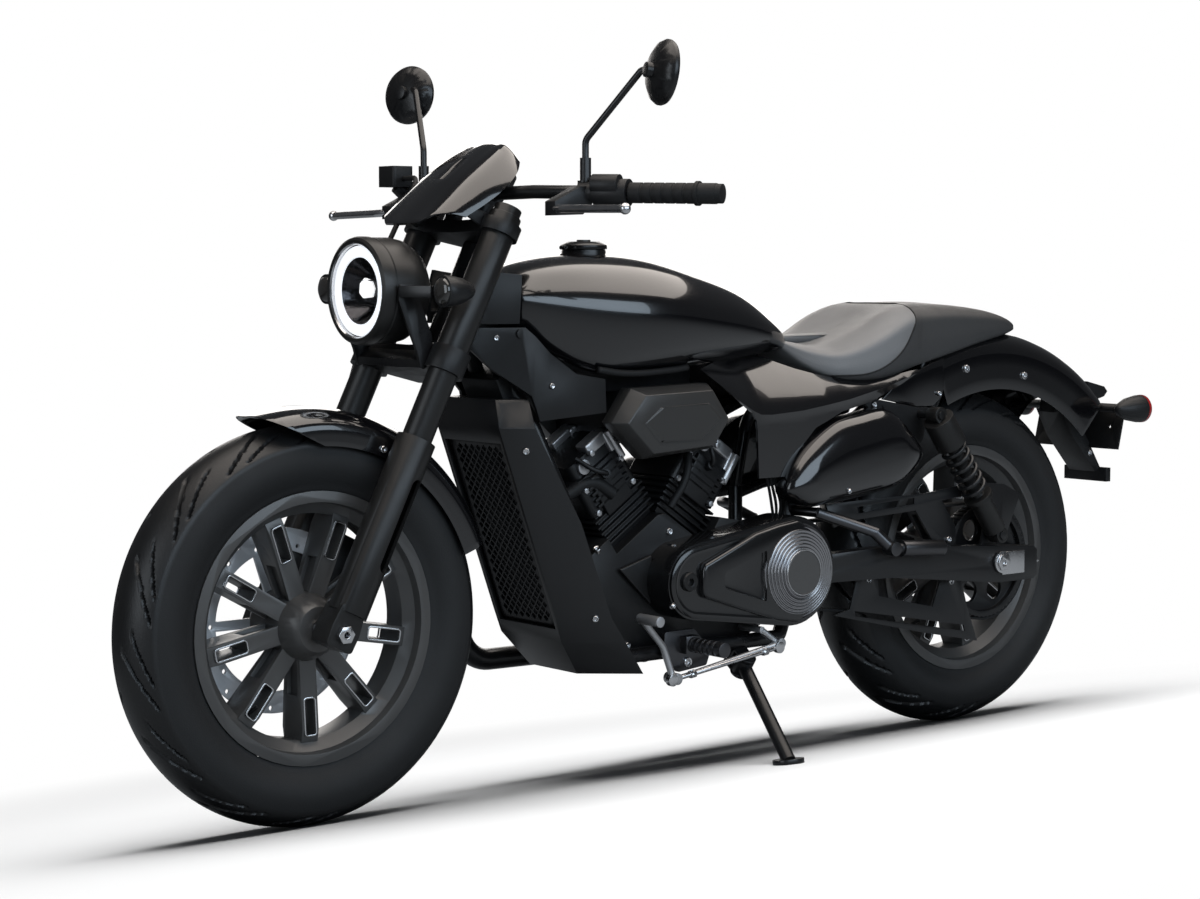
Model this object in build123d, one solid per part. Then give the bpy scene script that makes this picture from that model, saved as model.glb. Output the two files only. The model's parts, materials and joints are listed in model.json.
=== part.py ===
"""Cruiser motorcycle with a V-twin engine and belt drive, leaning on its side stand.

Every piece is drawn on the upright machine (X forward, Y to the rider's left, Z up, millimetres,
                                             ground at z = 0),
and placed() then leans the whole machine on to its stand and puts the origin under the middle of its box.
"""
from build123d import *
from math import acos, asin, atan2, cos, degrees, radians, sin, sqrt, tan
import os

# ---------------------------------------------------------------- driving dimensions
LEAN = 9.0                    # degrees, to the left, on the side stand
WHEELBASE = 1464.0
FRONT_AXLE_X = 720.0
FRONT_TYRE_R = 320.0
REAR_TYRE_R = 323.0
FRONT_TYRE_W = 130.0
REAR_TYRE_W = 150.0
TYRE_WALL = 9.0
CROWN_R = 76.0                # radius of both treads across the tyre
SEAT_R = 203.0                # bead seat of a 16 inch rim
FLANGE_R = 217.0
FRONT_RIM_W = 100.0
REAR_RIM_W = 116.0
RIM_WALL = 6.0
FIT = 0.3                     # gap left between pieces that sit in one another
RUN = 0.05                    # radial play of a shaft that turns in its bore

RAKE = 26.5                   # degrees from vertical
FORK_Y = 107.0                # fork tubes from the middle plane
FORK_BACK = 5.4               # fork axis behind the front axle
STEM_OFFSET = 45.0            # fork axis ahead of the steering axis
TUBE_R = 20.5                 # inner fork tube
COVER_R = 26.5                # upper fork tube
LOWER_R = 32.0                # lower leg
CLAMP_LOW_S, CLAMP_TOP_S = 446.0, 690.0   # undersides of the two clamps, along the fork from the axle
CLAMP_LOW_H, CLAMP_TOP_H = 48.0, 34.0
LEG_BOTTOM_S, LEG_TOP_S = 34.0, 330.0
CAP_S = 740.0

REAR_AXLE_X = FRONT_AXLE_X - WHEELBASE
SIN, COS = sin(radians(RAKE)), cos(radians(RAKE))


# ---------------------------------------------------------------- small helpers
def side_plane(y):
    """Sketch plane at that y whose own x and y are the machine's X and Z; extruding goes towards -Y."""
    return Plane(origin=(0, y, 0), x_dir=(1, 0, 0), z_dir=(0, -1, 0))


def plate(points, y_low, y_high, corner=0.0):
    """Side outline, as (x, z) points, made solid from y_low to y_high."""
    face = make_face(Polyline(*points, close=True))
    if corner:
        face = fillet(face.vertices(), corner)
    return extrude(side_plane(y_high) * face, y_high - y_low)


def plan(points, z_low, z_high):
    """Plan outline, as (x, y) points, made solid from z_low to z_high."""
    face = make_face(Polyline(*points, close=True))
    return extrude(Plane.XY.offset(z_low) * face, z_high - z_low)


def rod(start, end, radius, bore=0.0):
    """Round bar, or tube, between two points."""
    start, end = Vector(start), Vector(end)
    length = (end - start).length
    body = Cylinder(radius, length, align=(Align.CENTER, Align.CENTER, Align.MIN))
    if bore:
        body -= Cylinder(bore, length, align=(Align.CENTER, Align.CENTER, Align.MIN))
    return Plane(origin=start, z_dir=end - start) * body


def pipe(points, radius, bends, bore=0.0):
    """Bent tube through points, with one bend radius for each corner, or one for all."""
    count = len(points) - 2
    radii = bends if isinstance(bends, (list, tuple)) else [bends] * count
    path = FilletPolyline(*points, radius=list(radii)) if count else Line(*points)
    start = Plane(origin=path @ 0, z_dir=path % 0)
    section = Circle(radius) - Circle(bore) if bore else Circle(radius)
    return sweep(start * section, path=path)


def both_sides(piece):
    """The piece and its mirror image across the middle plane."""
    return piece + mirror(piece, Plane.XZ)


def mirrored(piece):
    return mirror(piece, Plane.XZ)


def steer_point(s, n, y=0.0):
    """Point s along the fork up from the front axle, n ahead of it square to the fork, and y to the left."""
    return (FRONT_AXLE_X - s * SIN + n * COS, y, FRONT_TYRE_R + s * COS + n * SIN)


def steer_plane(s, n=0.0, y=0.0):
    """Plane square to the fork: own z runs up the fork, own x ahead, own y to the left."""
    return Plane(origin=steer_point(s, n, y), x_dir=(COS, 0, SIN), z_dir=(-SIN, 0, COS))


FORK_N = -FORK_BACK
STEM_N = FORK_N - STEM_OFFSET
FRONT_AXLE = (FRONT_AXLE_X, 0, FRONT_TYRE_R)
REAR_AXLE = (REAR_AXLE_X, 0, REAR_TYRE_R)


def fork_stack(levels):
    """Cylinders along one fork leg from (low s, high s, radius) rows, on the left."""
    body = None
    for low, high, radius in levels:
        piece = steer_plane(low, FORK_N, FORK_Y) * Cylinder(
            radius, high - low, align=(Align.CENTER, Align.CENTER, Align.MIN))
        body = piece if body is None else body + piece
    return body


# ---------------------------------------------------------------- wheels
def tyre(outer_r, width, rim_w, centre):
    """Tyre carcass, open towards the rim, as one revolved section of lines and arcs."""
    def section(shrink, bead_y, seat):
        shoulder_y = width / 2 - 6 - shrink
        crown = CROWN_R - shrink
        middle = outer_r - CROWN_R
        shoulder_r = middle + sqrt(crown ** 2 - min(shoulder_y, crown - 8) ** 2)
        shoulder_y = min(shoulder_y, crown - 8)
        side_r = (shoulder_r + FLANGE_R) / 2 - 4
        side_y = width / 2 - shrink
        bead_top = FLANGE_R + FIT
        lines = Curve() + [
            Line((seat, -bead_y), (seat, bead_y)),
            Line((seat, bead_y), (bead_top, bead_y)),
            ThreePointArc((bead_top, bead_y), (side_r, side_y), (shoulder_r, shoulder_y)),
            ThreePointArc((shoulder_r, shoulder_y), (middle + crown, 0), (shoulder_r, -shoulder_y)),
            ThreePointArc((shoulder_r, -shoulder_y), (side_r, -side_y), (bead_top, -bead_y)),
            Line((bead_top, -bead_y), (seat, -bead_y)),
        ]
        return make_face(lines)

    bead_y = rim_w / 2 - 5 - FIT
    face = section(0, bead_y, SEAT_R + FIT) - section(TYRE_WALL, bead_y - 13, SEAT_R - 10)
    return Pos(*centre) * revolve(face, Axis.Y)


HUB_FACE = 58.0
SPOKES = 9
SPOKE_W = 30.0


def cast_wheel(rim_w, hub_left, hub_right, bore, centre, turn):
    """Cast wheel: drop-centre rim, hub and nine spokes that open into a window next to the rim."""
    half, seat, well = rim_w / 2, SEAT_R, SEAT_R - 17
    barrel = [
        (FLANGE_R, half), (FLANGE_R, half - 5), (seat, half - 5), (seat, half - 17), (well, half - 30),
        (well, -half + 30), (seat, -half + 17), (seat, -half + 5), (FLANGE_R, -half + 5), (FLANGE_R, -half),
        (seat - 4, -half), (seat - RIM_WALL, -half + 15), (well - RIM_WALL, -half + 28),
        (well - RIM_WALL, half - 28), (seat - RIM_WALL, half - 15), (seat - 4, half),
    ]
    hub = [
        (bore, -hub_right), (bore, hub_left), (36, hub_left), (44, 48), (54, 24),
        (54, -24), (52, -hub_right + 6), (52, -hub_right),
    ]
    rim = revolve(make_face(Polyline(*barrel, close=True)), Axis.Y)
    middle = revolve(make_face(Polyline(*hub, close=True)), Axis.Y)
    inner, outer = 46.0, well - RIM_WALL + 3
    root_y, tip_y = 22.0, 26.0
    blade = make_face(Polyline(
        (inner, root_y), (outer - 20, tip_y + 4), (outer, tip_y), (outer, -tip_y), (outer - 20, -tip_y - 4),
        (inner, -root_y), close=True))
    spoke = extrude(blade, SPOKE_W / 2, both=True)
    window = Pos((112 + outer - 10) / 2, 0, 0) * Box(outer - 10 - 112, 200, SPOKE_W - 12)
    relief = Pos(80, 0, 0) * Box(60, 30, 60)
    spoke = spoke - window - relief + Pos(80, 0, 0) * Box(64, 36, SPOKE_W - 14)
    wheel = rim + middle
    for i in range(SPOKES):
        wheel += Rot(Y=turn + i * 360 / SPOKES) * spoke
    wheel -= Rot(X=90) * Cylinder(bore, 400)
    return Pos(*centre) * wheel


DISC_T = 5.0
DISC_R = 150.0


def brake_disc(outer, inner, y, centre):
    """Drilled disc on a five-armed carrier."""
    ring = Rot(X=90) * (Cylinder(outer, DISC_T) - Cylinder(inner, DISC_T))
    hub_ring = Rot(X=90) * (Cylinder(50, DISC_T) - Cylinder(36, DISC_T))
    body = ring + hub_ring
    arm = Pos((inner + 46) / 2, 0, 0) * Box(inner - 38, DISC_T, 16)
    for i in range(5):
        body += Rot(Y=i * 72) * arm
    holes = Sketch()
    for i in range(30):
        offset = 9.0 * (i % 3 - 1)
        holes += PolarLocations((outer + inner) / 2 + offset, 1,
                                start_angle=i * 12).locations[0] * Circle(3.6)
    body -= Rot(X=90) * extrude(holes, DISC_T, both=True)
    return Pos(centre[0], y, centre[2]) * body


AXLE_R = 8.5
AXLE_BORE_R = 5.0
HOSE_R = 4.5
NUT_T = 10.0
FRONT_DISC_Y = -68.0
REAR_DISC_Y = -74.0
PULLEY_Y = 98.0
PULLEY_BOSS = 17.0
PULLEY_R = 110.0
DRIVE_R = 70.0
DRIVE_X, DRIVE_Z = -205.0, 352.0
BELT_W, BELT_T = 24.0, 5.0
GUARD_Y = (119.5, 123.0)      # belt guards, just outside the belt


def rear_pulley():
    """Toothed rear pulley with a spoked web."""
    rim = Cylinder(PULLEY_R, BELT_W + 4) - Cylinder(PULLEY_R - 12, BELT_W + 4)
    web = Cylinder(PULLEY_R - 10, 8) - Cylinder(AXLE_R + 14, 8)
    holes = PolarLocations(68, 6) * Cylinder(20, 20)
    boss = Cylinder(40, 2 * PULLEY_BOSS) - Cylinder(AXLE_R + 14, 2 * PULLEY_BOSS)
    teeth = PolarLocations(PULLEY_R + 0.5, 60) * Box(4, 4.6, BELT_W + 4)
    body = rim + (web - holes) + boss - teeth
    return Pos(REAR_AXLE_X, PULLEY_Y, REAR_TYRE_R) * (Rot(X=90) * body)


def belt():
    """Drive belt round both pulleys, clear of the rear one by a hair."""
    gap = 0.5
    dx, dz = DRIVE_X - REAR_AXLE_X, DRIVE_Z - REAR_TYRE_R
    span, tilt = sqrt(dx ** 2 + dz ** 2), atan2(dz, dx)

    def loop(extra):
        big, small = PULLEY_R + extra, DRIVE_R + extra
        lean = asin((big - small) / span)
        a, b = tilt + radians(90) - lean, tilt - radians(90) + lean

        def at(centre, radius, angle):
            return (centre[0] + radius * cos(angle), centre[1] + radius * sin(angle))

        rear, front = (REAR_AXLE_X, REAR_TYRE_R), (DRIVE_X, DRIVE_Z)
        return make_face(Curve() + [
            Line(at(rear, big, a), at(front, small, a)),
            ThreePointArc(at(front, small, a), at(front, small, tilt), at(front, small, b)),
            Line(at(front, small, b), at(rear, big, b)),
            ThreePointArc(at(rear, big, b), at(rear, big, tilt + radians(180)), at(rear, big, a)),
        ])

    band = loop(gap + BELT_T) - loop(gap)
    return extrude(side_plane(PULLEY_Y + BELT_W / 2) * band, BELT_W)


# ---------------------------------------------------------------- fork and steering
def fork_upper():
    """Left fork tube: bright inner tube, thick upper cover and cap."""
    return fork_stack([(LEG_BOTTOM_S + 14, LEG_TOP_S + 20, TUBE_R),
                       (LEG_TOP_S - 22, CLAMP_LOW_S + 30, COVER_R - 2),
                       (CLAMP_LOW_S, CAP_S - 14, COVER_R), (CAP_S - 14, CAP_S, COVER_R - 4)])


def fork_lower():
    """Left lower leg: a sleeve with the long rounded window at its back, and the axle clamp below."""
    leg = fork_stack([(LEG_BOTTOM_S, LEG_TOP_S, LOWER_R)])
    leg -= fork_stack([(LEG_BOTTOM_S + 14, LEG_TOP_S, COVER_R)])
    leg += fork_stack([(LEG_TOP_S - 22, LEG_TOP_S, LOWER_R)]) - fork_stack([(0, LEG_TOP_S + 9,
                                                                             COVER_R - 2 + FIT)])
    slot = SlotOverall(158, 24)
    window = steer_plane(190, FORK_N, FORK_Y) * (Rot(Z=118) * (Pos(26, 0, 0) * (
        Rot(Y=90) * (Rot(Z=0) * extrude(slot, 30, both=True)))))
    leg -= window
    clamp = plate([(-26, -24), (24, -24), (26, 8), (22, 44), (-22, 48), (-28, 6)], -24, 22, 6)
    clamp = Pos(FRONT_AXLE_X, FORK_Y, FRONT_TYRE_R) * (Rot(Y=-RAKE) * clamp)
    clamp -= rod((FRONT_AXLE_X, 0, FRONT_TYRE_R), (FRONT_AXLE_X, 200, FRONT_TYRE_R), AXLE_R)
    return leg + clamp


def clamp_plate(low, height, fork_r, y_pad, n_front, n_back):
    """One fork clamp: a waisted plate with split rings for the tubes and a hole for the stem."""
    outline = make_face(Polyline(
        (n_front - STEM_N + 6, -FORK_Y + 10), (n_front - STEM_N, 0), (n_front - STEM_N + 6, FORK_Y - 10),
        (n_back - STEM_N + 14, FORK_Y - 10), (n_back - STEM_N - 26, 24), (n_back - STEM_N - 26, -24),
        (n_back - STEM_N + 14, -FORK_Y + 10), close=True))
    body = steer_plane(low, STEM_N) * extrude(outline, height)
    for side in (1, -1):
        body += steer_plane(low, FORK_N, side * FORK_Y) * Cylinder(
            fork_r + y_pad, height, align=(Align.CENTER, Align.CENTER, Align.MIN))
    for side in (1, -1):
        body -= steer_plane(low - 1, FORK_N, side * FORK_Y) * Cylinder(
            fork_r + FIT, height + 2, align=(Align.CENTER, Align.CENTER, Align.MIN))
    return body


def fork_clamps():
    """Both fork clamps, the stem between them and its top nut."""
    low = clamp_plate(CLAMP_LOW_S, CLAMP_LOW_H - 8, COVER_R, 6, FORK_N + 16, FORK_N - 22)
    low += steer_plane(CLAMP_LOW_S + 20, STEM_N) * Cylinder(
        14, CLAMP_TOP_S - CLAMP_LOW_S - 20, align=(Align.CENTER, Align.CENTER, Align.MIN))
    top = clamp_plate(CLAMP_TOP_S, CLAMP_TOP_H - 12, COVER_R, 6, FORK_N + 14, FORK_N - 24)
    nut = steer_plane(CLAMP_TOP_S + CLAMP_TOP_H - 12, STEM_N) * extrude(RegularPolygon(16, 6), 10)
    return low + top + nut


BAR_R = 11.0
BAR_PATH = [(372, 0, 1004), (372, 62, 1004), (352, 130, 1006), (338, 205, 1004), (218, 425, 999)]
GRIP_R = 16.5


def bar_point(y):
    """Centre of the handlebar's outer straight at that distance from the middle plane."""
    a, b = Vector(*BAR_PATH[-2]), Vector(*BAR_PATH[-1])
    return a + (b - a) * ((y - a.Y) / (b.Y - a.Y))


def handlebar():
    half = pipe(BAR_PATH, BAR_R, [60, 90, 60])
    return half + mirrored(half)


def handlebar_clamp():
    """Two risers on the upper clamp, joined by the cap that holds the bar."""
    x, z = BAR_PATH[0][0], BAR_PATH[0][2]
    along = (FRONT_AXLE_X - x) * SIN + (z - FRONT_TYRE_R) * COS
    ahead = (x - FRONT_AXLE_X) * COS + (z - FRONT_TYRE_R) * SIN
    top = CLAMP_TOP_S + CLAMP_TOP_H - 12
    body = rod((x, -53, z), (x, 53, z), 20)
    for side in (1, -1):
        body += steer_plane(top, ahead, side * 38) * Cylinder(
            14, along - top, align=(Align.CENTER, Align.CENTER, Align.MIN))
    return body - rod((x, -100, z), (x, 100, z), BAR_R)


def grip(side):
    """Ribbed rubber grip with a collar and a bar-end weight."""
    start, end = bar_point(298), bar_point(425)
    along = (end - start).normalized()
    sleeve = rod(start, end, GRIP_R)
    for i in range(6):
        sleeve -= rod(start + along * (20 + i * 18), start + along * (24 + i * 18), GRIP_R + 2,
                      GRIP_R - 1.5)
    sleeve += rod(end - along * 34, end - along * 28, GRIP_R + 3)
    sleeve += rod(end - along * 2, end + along * 10, GRIP_R - 1)
    sleeve -= rod(start - along * 5, end + along * 0.2, BAR_R + FIT)
    return sleeve if side > 0 else mirrored(sleeve)


def switchgear(side):
    """Switch housing on the bar, inboard of the grip, with its lever perch."""
    a, b = bar_point(246), bar_point(296)
    along = (b - a).normalized()
    body = rod(a, b, 22) + rod(a + along * 4, b - along * 8, 17).translate((10, 0, 12))
    perch = rod(bar_point(222), bar_point(248), 17)
    perch += plate([(314, 992), (340, 968), (396, 966), (396, 988), (345, 1012), (318, 1014)], 218, 244)
    body = body + perch
    body -= rod(bar_point(212), bar_point(300), BAR_R + FIT)
    return body if side > 0 else mirrored(body)


def lever(side):
    """Clutch or brake lever: a flat blade with a ball end, ahead of the grip."""
    path = [(388, 232, 977), (396, 262, 976), (392, 330, 975), (389, 404, 974)]
    body = None
    for a, b in zip(path, path[1:]):
        piece = rod(a, b, 6.5)
        body = piece if body is None else body + piece
        body += Pos(*b) * Sphere(6.5)
    body += Pos(389, 409, 974) * Sphere(9)
    return body if side > 0 else mirrored(body)


def reservoir():
    """Front brake master cylinder and its square fluid reservoir, on the right bar."""
    box = Pos(354, -264, 1040) * Box(42, 50, 36)
    box = fillet(box.edges().filter_by(Axis.Z), 6)
    neck = rod((352, -264, 1023), (340, -262, 1012), 12)
    return box + neck


MIRROR_ROOT = (321, 226, 1012)


def mirror_unit(side):
    """Round mirror on its bent stem."""
    x, y, z = MIRROR_ROOT
    stem = pipe([(x, y, z + 14), (x, y, z + 74), (278, 312, 1192), (272, 326, 1196)], 5.5, [18, 8])
    boot = rod((x, y, z + 6), (x, y, z + 46), 9)
    base = rod((x, y, z + 2), (x, y, z + 10), 13)
    centre, back = Vector(262, 352, 1188), Vector(0.93, -0.30, 0.12)
    profile = [(0, -4), (50, -4), (52, 0), (52, 4), (47, 12), (34, 20), (14, 24), (0, 24)]
    dish = Plane(origin=centre, z_dir=back) * (Rot(X=90) * revolve(make_face(Polyline(*profile,
                                                                                      close=True)), Axis.Y))
    joint = rod(centre + back * 14, centre + back * 34, 12)
    body = dish + joint + stem + boot + base
    return body if side > 0 else mirrored(body)


HEAD_X, HEAD_Z, HEAD_R = 612.0, 847.0, 87.0


def headlight_shell():
    """Lamp bowl, open at the front, with its thick bezel."""
    outer = [(0, -118), (40, -116), (66, -104), (80, -84), (HEAD_R - 2, -70), (HEAD_R - 2, -26),
             (HEAD_R, -24),
             (HEAD_R, -6), (HEAD_R - 4, 0), (74, 0), (72, -10), (72, -60), (50, -92), (0, -98)]
    face = make_face(Polyline(*outer, close=True))
    bowl = revolve(face, Axis.Y)
    return Pos(HEAD_X, 0, HEAD_Z) * (Rot(Z=-90) * bowl)


def headlight_lens():
    """Lens with the ring light and the projector in the middle."""
    profile = [(0, -36), (20, -36), (26, -44), (52, -24), (54, -8), (70, -6), (71.7, -12), (71.7, -50),
               (0, -50)]
    face = make_face(Polyline(*profile, close=True))
    ring = revolve(face, Axis.Y)
    return Pos(HEAD_X, 0, HEAD_Z) * (Rot(Z=-90) * ring)


def headlight_bracket():
    """Two arms from the lower clamp to the lamp's sides, and the signal stalk plates."""
    arm = plate([(588, 858), (560, 858), (528, 778), (522, 734), (548, 722), (556, 752), (590, 832)], 88,
                94, 5)
    stalk = plan([(590, 94.2), (562, 94.2), (548, 146), (566, 146)], 838, 856)
    left = arm + stalk
    cross = plate([(548, 738), (548, 726), (520, 740), (526, 752)], -88.2, 88.2)
    return left + mirrored(left) + cross


def signal(x_face, x_tip, y, z, radius):
    """Bullet-shaped indicator whose lens is at x_face and whose body narrows to x_tip."""
    length = abs(x_tip - x_face)
    turn = 1 if x_face > x_tip else -1
    profile = [(0, 0), (radius - 3, 0), (radius, -3), (radius, -0.2 * length),
               (radius * 0.82, -0.55 * length),
               (radius * 0.45, -0.85 * length), (0, -length)]
    body = revolve(make_face(Polyline(*profile, close=True)), Axis.Y)
    return Pos(x_face, y, z) * (Rot(Z=-90 * turn) * body)


SCREEN = [  # middle x, z, half width, then the side edge's x, y, z
    (522, 957, 46, 456, 100, 968), (436, 1030, 44, 390, 106, 1010), (352, 1084, 34, 330, 76, 1050),
]


def fly_screen():
    """Fly screen: a flat-faced sheet with two side facets, leaning back over the gauge."""
    wall = 4.0
    body = Part()
    for (xa, za, ha, ea, ya, fa), (xb, zb, hb, eb, yb, fb) in zip(SCREEN, SCREEN[1:]):
        for a, b, c in (
                ((xa, ha, za), (xa, -ha, za), (xb, hb, zb)), ((xa, -ha, za), (xb, -hb, zb), (xb, hb, zb)),
                ((xa, ha, za), (xb, hb, zb), (ea, ya, fa)), ((xb, hb, zb), (eb, yb, fb), (ea, ya, fa)),
                ((xa, -ha, za), (ea, -ya, fa), (xb, -hb, zb)), ((xb, -hb, zb), (ea, -ya, fa),
                                                                (eb, -yb, fb))):
            sheet = Face(Wire.make_polygon([a, b, c], close=True))
            back = Vector(-wall, 0, -wall * 0.8)
            body += Solid.extrude(sheet, back)
    bracket = plate([(398, 938), (420, 944), (462, 970), (452, 986), (404, 966)], 88, 94)
    return body + both_sides(bracket)


def gauge():
    """Round instrument behind the fly screen, on the handlebar clamp."""
    body = Plane(origin=(338, 0, 1036), z_dir=(-0.5, 0, 0.866)) * Cylinder(38, 22)
    foot = rod((346, 0, 1034), (358, 0, 1010), 8)
    return body + foot


def front_fender():
    """Front mudguard: a crowned channel round the tyre, cut to a lip at the front, with fork lugs."""
    crown, skirt, half, wall = FRONT_TYRE_R + 27, FRONT_TYRE_R - 32, FRONT_TYRE_W / 2 + 7.5, 3.5

    def channel(inset):
        return make_face(Curve() + [
            Line((skirt, half - inset), (crown - 34, half - inset)),
            ThreePointArc((crown - 34, half - inset), (crown - inset, 0), (crown - 34, -half + inset)),
            Line((crown - 34, -half + inset), (skirt, -half + inset)),
            Line((skirt, -half + inset), (skirt, half - inset)),
        ])
    section = channel(0) - Pos(-0.01, 0) * channel(wall)
    sector = Rot(Y=-70) * revolve(section, Axis.Y, -90)
    body = Pos(*FRONT_AXLE) * sector
    lip = plate([(900, 660), (812, 655), (690, 596), (640, 560), (640, 500), (900, 500)], -200, 200)
    body -= lip
    boss = both_sides(rod(steer_point(308, FORK_N, half - 3), steer_point(308, FORK_N,
                                                                          FORK_Y - LOWER_R + 6), 11))
    return body + boss


def front_caliper():
    """Right-hand caliper over the disc, on lugs behind the fork leg."""
    block = Pos(0, -7, 0) * Box(60, 40, 92)
    block = fillet(block.edges().filter_by(Axis.Y), 12)
    lug = Pos(24, -22, 22) * Box(18, 10, 20) + Pos(24, -22, -22) * Box(18, 10, 20)
    slot = Pos(FRONT_AXLE_X, FRONT_DISC_Y, FRONT_TYRE_R) * (Rot(X=90) * Cylinder(DISC_R + 4, DISC_T + 6))
    return steer_plane(126, FORK_N - 62, FRONT_DISC_Y) * (block + lug) - slot


def brake_hose():
    """Hose from the master cylinder down the outside of the right fork to the caliper."""
    low = steer_point(166, FORK_N - 60, -90)
    return pipe([(352, -242, 1036), (370, -170, 1036), (438, -158, 930), steer_point(410, FORK_N - 6, -152),
                 steer_point(300, FORK_N - 56, -118), low], HOSE_R, [34, 60, 150, 80])


def rear_caliper():
    """Caliper over the rear disc, on an arm from the swing arm's inner face."""
    angle = 63
    x = REAR_AXLE_X + 92 * cos(radians(angle))
    z = REAR_TYRE_R + 92 * sin(radians(angle))
    block = Pos(0, -7, 0) * Box(56, 40, 86)
    block = fillet(block.edges().filter_by(Axis.Y), 12)
    slot = Pos(REAR_AXLE_X, REAR_DISC_Y, REAR_TYRE_R) * (Rot(X=90) * Cylinder(124, DISC_T + 6))
    arm = rod((x + 12, REAR_DISC_Y - 22, z - 10), (x + 54, -SWING_Y[0] - 10, 350), 9)
    return Pos(x, REAR_DISC_Y, z) * (Rot(Y=-angle) * block) - slot + arm


# ---------------------------------------------------------------- chassis
SWING_Y = (124.0, 150.0)
PIVOT = (-292.0, 0, 345.0)
PIVOT_R = 9.0
SHOCK_TOP = (-562.0, 152.0, 610.0)
SHOCK_LOW = (-732.0, 152.0, 376.0)
SHOCK_PIN_R = 8.0
RAIL_R = 13.0
SPINE_HALF = 24.0
RAIL_Y, RAIL_Z = 100.0, 224.0
STAY_Y = 70.0                 # uprights behind the engine, between the belt's planes and the tyre
SEAT_RAIL_Y, SEAT_RAIL_Z = 76.0, 654.0


def frame_main():
    """Headstock, backbone and down tubes."""
    head = steer_plane(CLAMP_LOW_S + CLAMP_LOW_H - 8 + FIT * 4, STEM_N) * (Cylinder(
        27, CLAMP_TOP_S - CLAMP_LOW_S - CLAMP_LOW_H + 8 - FIT * 8, align=(Align.CENTER, Align.CENTER,
                                                                          Align.MIN)))
    head -= steer_plane(CLAMP_LOW_S, STEM_N) * Cylinder(
        14 + RUN, 400, align=(Align.CENTER, Align.CENTER, Align.MIN))
    spine = plate([(408, 850), (330, 838), (60, 790), (-235, 728), (-235, 688), (60, 742), (330, 768),
                   (425, 760)],
                  -SPINE_HALF, SPINE_HALF)
    spine -= steer_plane(CLAMP_LOW_S, STEM_N) * Cylinder(
        26, 400, align=(Align.CENTER, Align.CENTER, Align.MIN))
    down = both_sides(pipe([(396, 14, 790), (306, 52, 640), (240, RAIL_Y, 440), (186, RAIL_Y, RAIL_Z),
                            (-216, RAIL_Y, RAIL_Z), (-264, STAY_Y, 266), (-264, STAY_Y, 480)],
                           RAIL_R, [80, 60, 50, 26, 24]))
    return head + spine + down


def subframe():
    """Seat rails, shock mounts and the cross pieces under the seat."""
    rail = pipe([(-225, 36, 688), (-300, SEAT_RAIL_Y, SEAT_RAIL_Z), (-720, SEAT_RAIL_Y, SEAT_RAIL_Z)], 11,
                [60])
    stay = pipe([(-264, STAY_Y, 478), (-290, STAY_Y, 600), (-352, SEAT_RAIL_Y, SEAT_RAIL_Z)], 11, [60])
    brace = pipe([(-264, STAY_Y, 465), (-430, 92, 500), (-600, 92, 600), (-650, SEAT_RAIL_Y, SEAT_RAIL_Z)],
                 10, [80, 30])
    mount = rod((SHOCK_TOP[0], 84, SHOCK_TOP[2]), (SHOCK_TOP[0], SHOCK_TOP[1] + 16, SHOCK_TOP[2]),
                SHOCK_PIN_R)
    lug = plate([(-262, 372), (PIVOT[0] - 14, 358), (PIVOT[0] - 14, 332), (-262, 318)], STAY_Y - 10,
                STAY_Y + 10)
    pads = rod((-380, SEAT_RAIL_Y, SEAT_RAIL_Z), (-380, SEAT_RAIL_Y, SEAT_RAIL_Z + 50), 9)
    pads += rod((-600, SEAT_RAIL_Y, SEAT_RAIL_Z), (-600, SEAT_RAIL_Y, SEAT_RAIL_Z + 70), 9)
    for x in (-660, -708):
        pads += rod((x, SEAT_RAIL_Y, SEAT_RAIL_Z), (x, 94, SEAT_RAIL_Z), 8)
    left = rail + stay + brace + mount + lug + pads
    cross = rod((-340, -SEAT_RAIL_Y, SEAT_RAIL_Z), (-340, SEAT_RAIL_Y, SEAT_RAIL_Z), 10)
    link = rod((-228, -40, 688), (-228, 40, 688), 12)
    shaft = rod((PIVOT[0], -SWING_Y[1], PIVOT[2]), (PIVOT[0], SWING_Y[1], PIVOT[2]), PIVOT_R)
    return left + mirrored(left) + cross + link + shaft


def swing_arm():
    """Boxed swing arm: two arms, a cross member behind the pivot, and lugs and pins for the shocks."""
    arm = plate([(-276, 370), (-420, 374), (-560, 366), (-836, 348), (-846, 340), (-846, 292), (-836, 284),
                 (-740, 284), (-450, 316), (-276, 320)], *SWING_Y)
    arm -= rod((REAR_AXLE_X, 100, REAR_TYRE_R), (REAR_AXLE_X, 200, REAR_TYRE_R), AXLE_R + 1)
    arm -= rod((PIVOT[0], 100, PIVOT[2]), (PIVOT[0], 200, PIVOT[2]), PIVOT_R)
    x, _, z = SHOCK_LOW
    lug = plate([(x - 22, z - 34), (x - 14, z + 12), (x + 14, z + 12), (x + 24, z - 34)], SWING_Y[0],
                SWING_Y[0] + 6)
    pin = rod((x, SWING_Y[0] + 5, z), (x, SHOCK_LOW[1] + 16, z), SHOCK_PIN_R)
    arms = arm + lug + pin
    cross = plate([(-322, 366), (-362, 366), (-372, 345), (-362, 324), (-322, 324)], -SWING_Y[0] - 1,
                  SWING_Y[0] + 1)
    return arms + mirrored(arms) + cross


def shock_axis(t):
    a, b = Vector(*SHOCK_TOP), Vector(*SHOCK_LOW)
    return a + (b - a) * t


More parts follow.
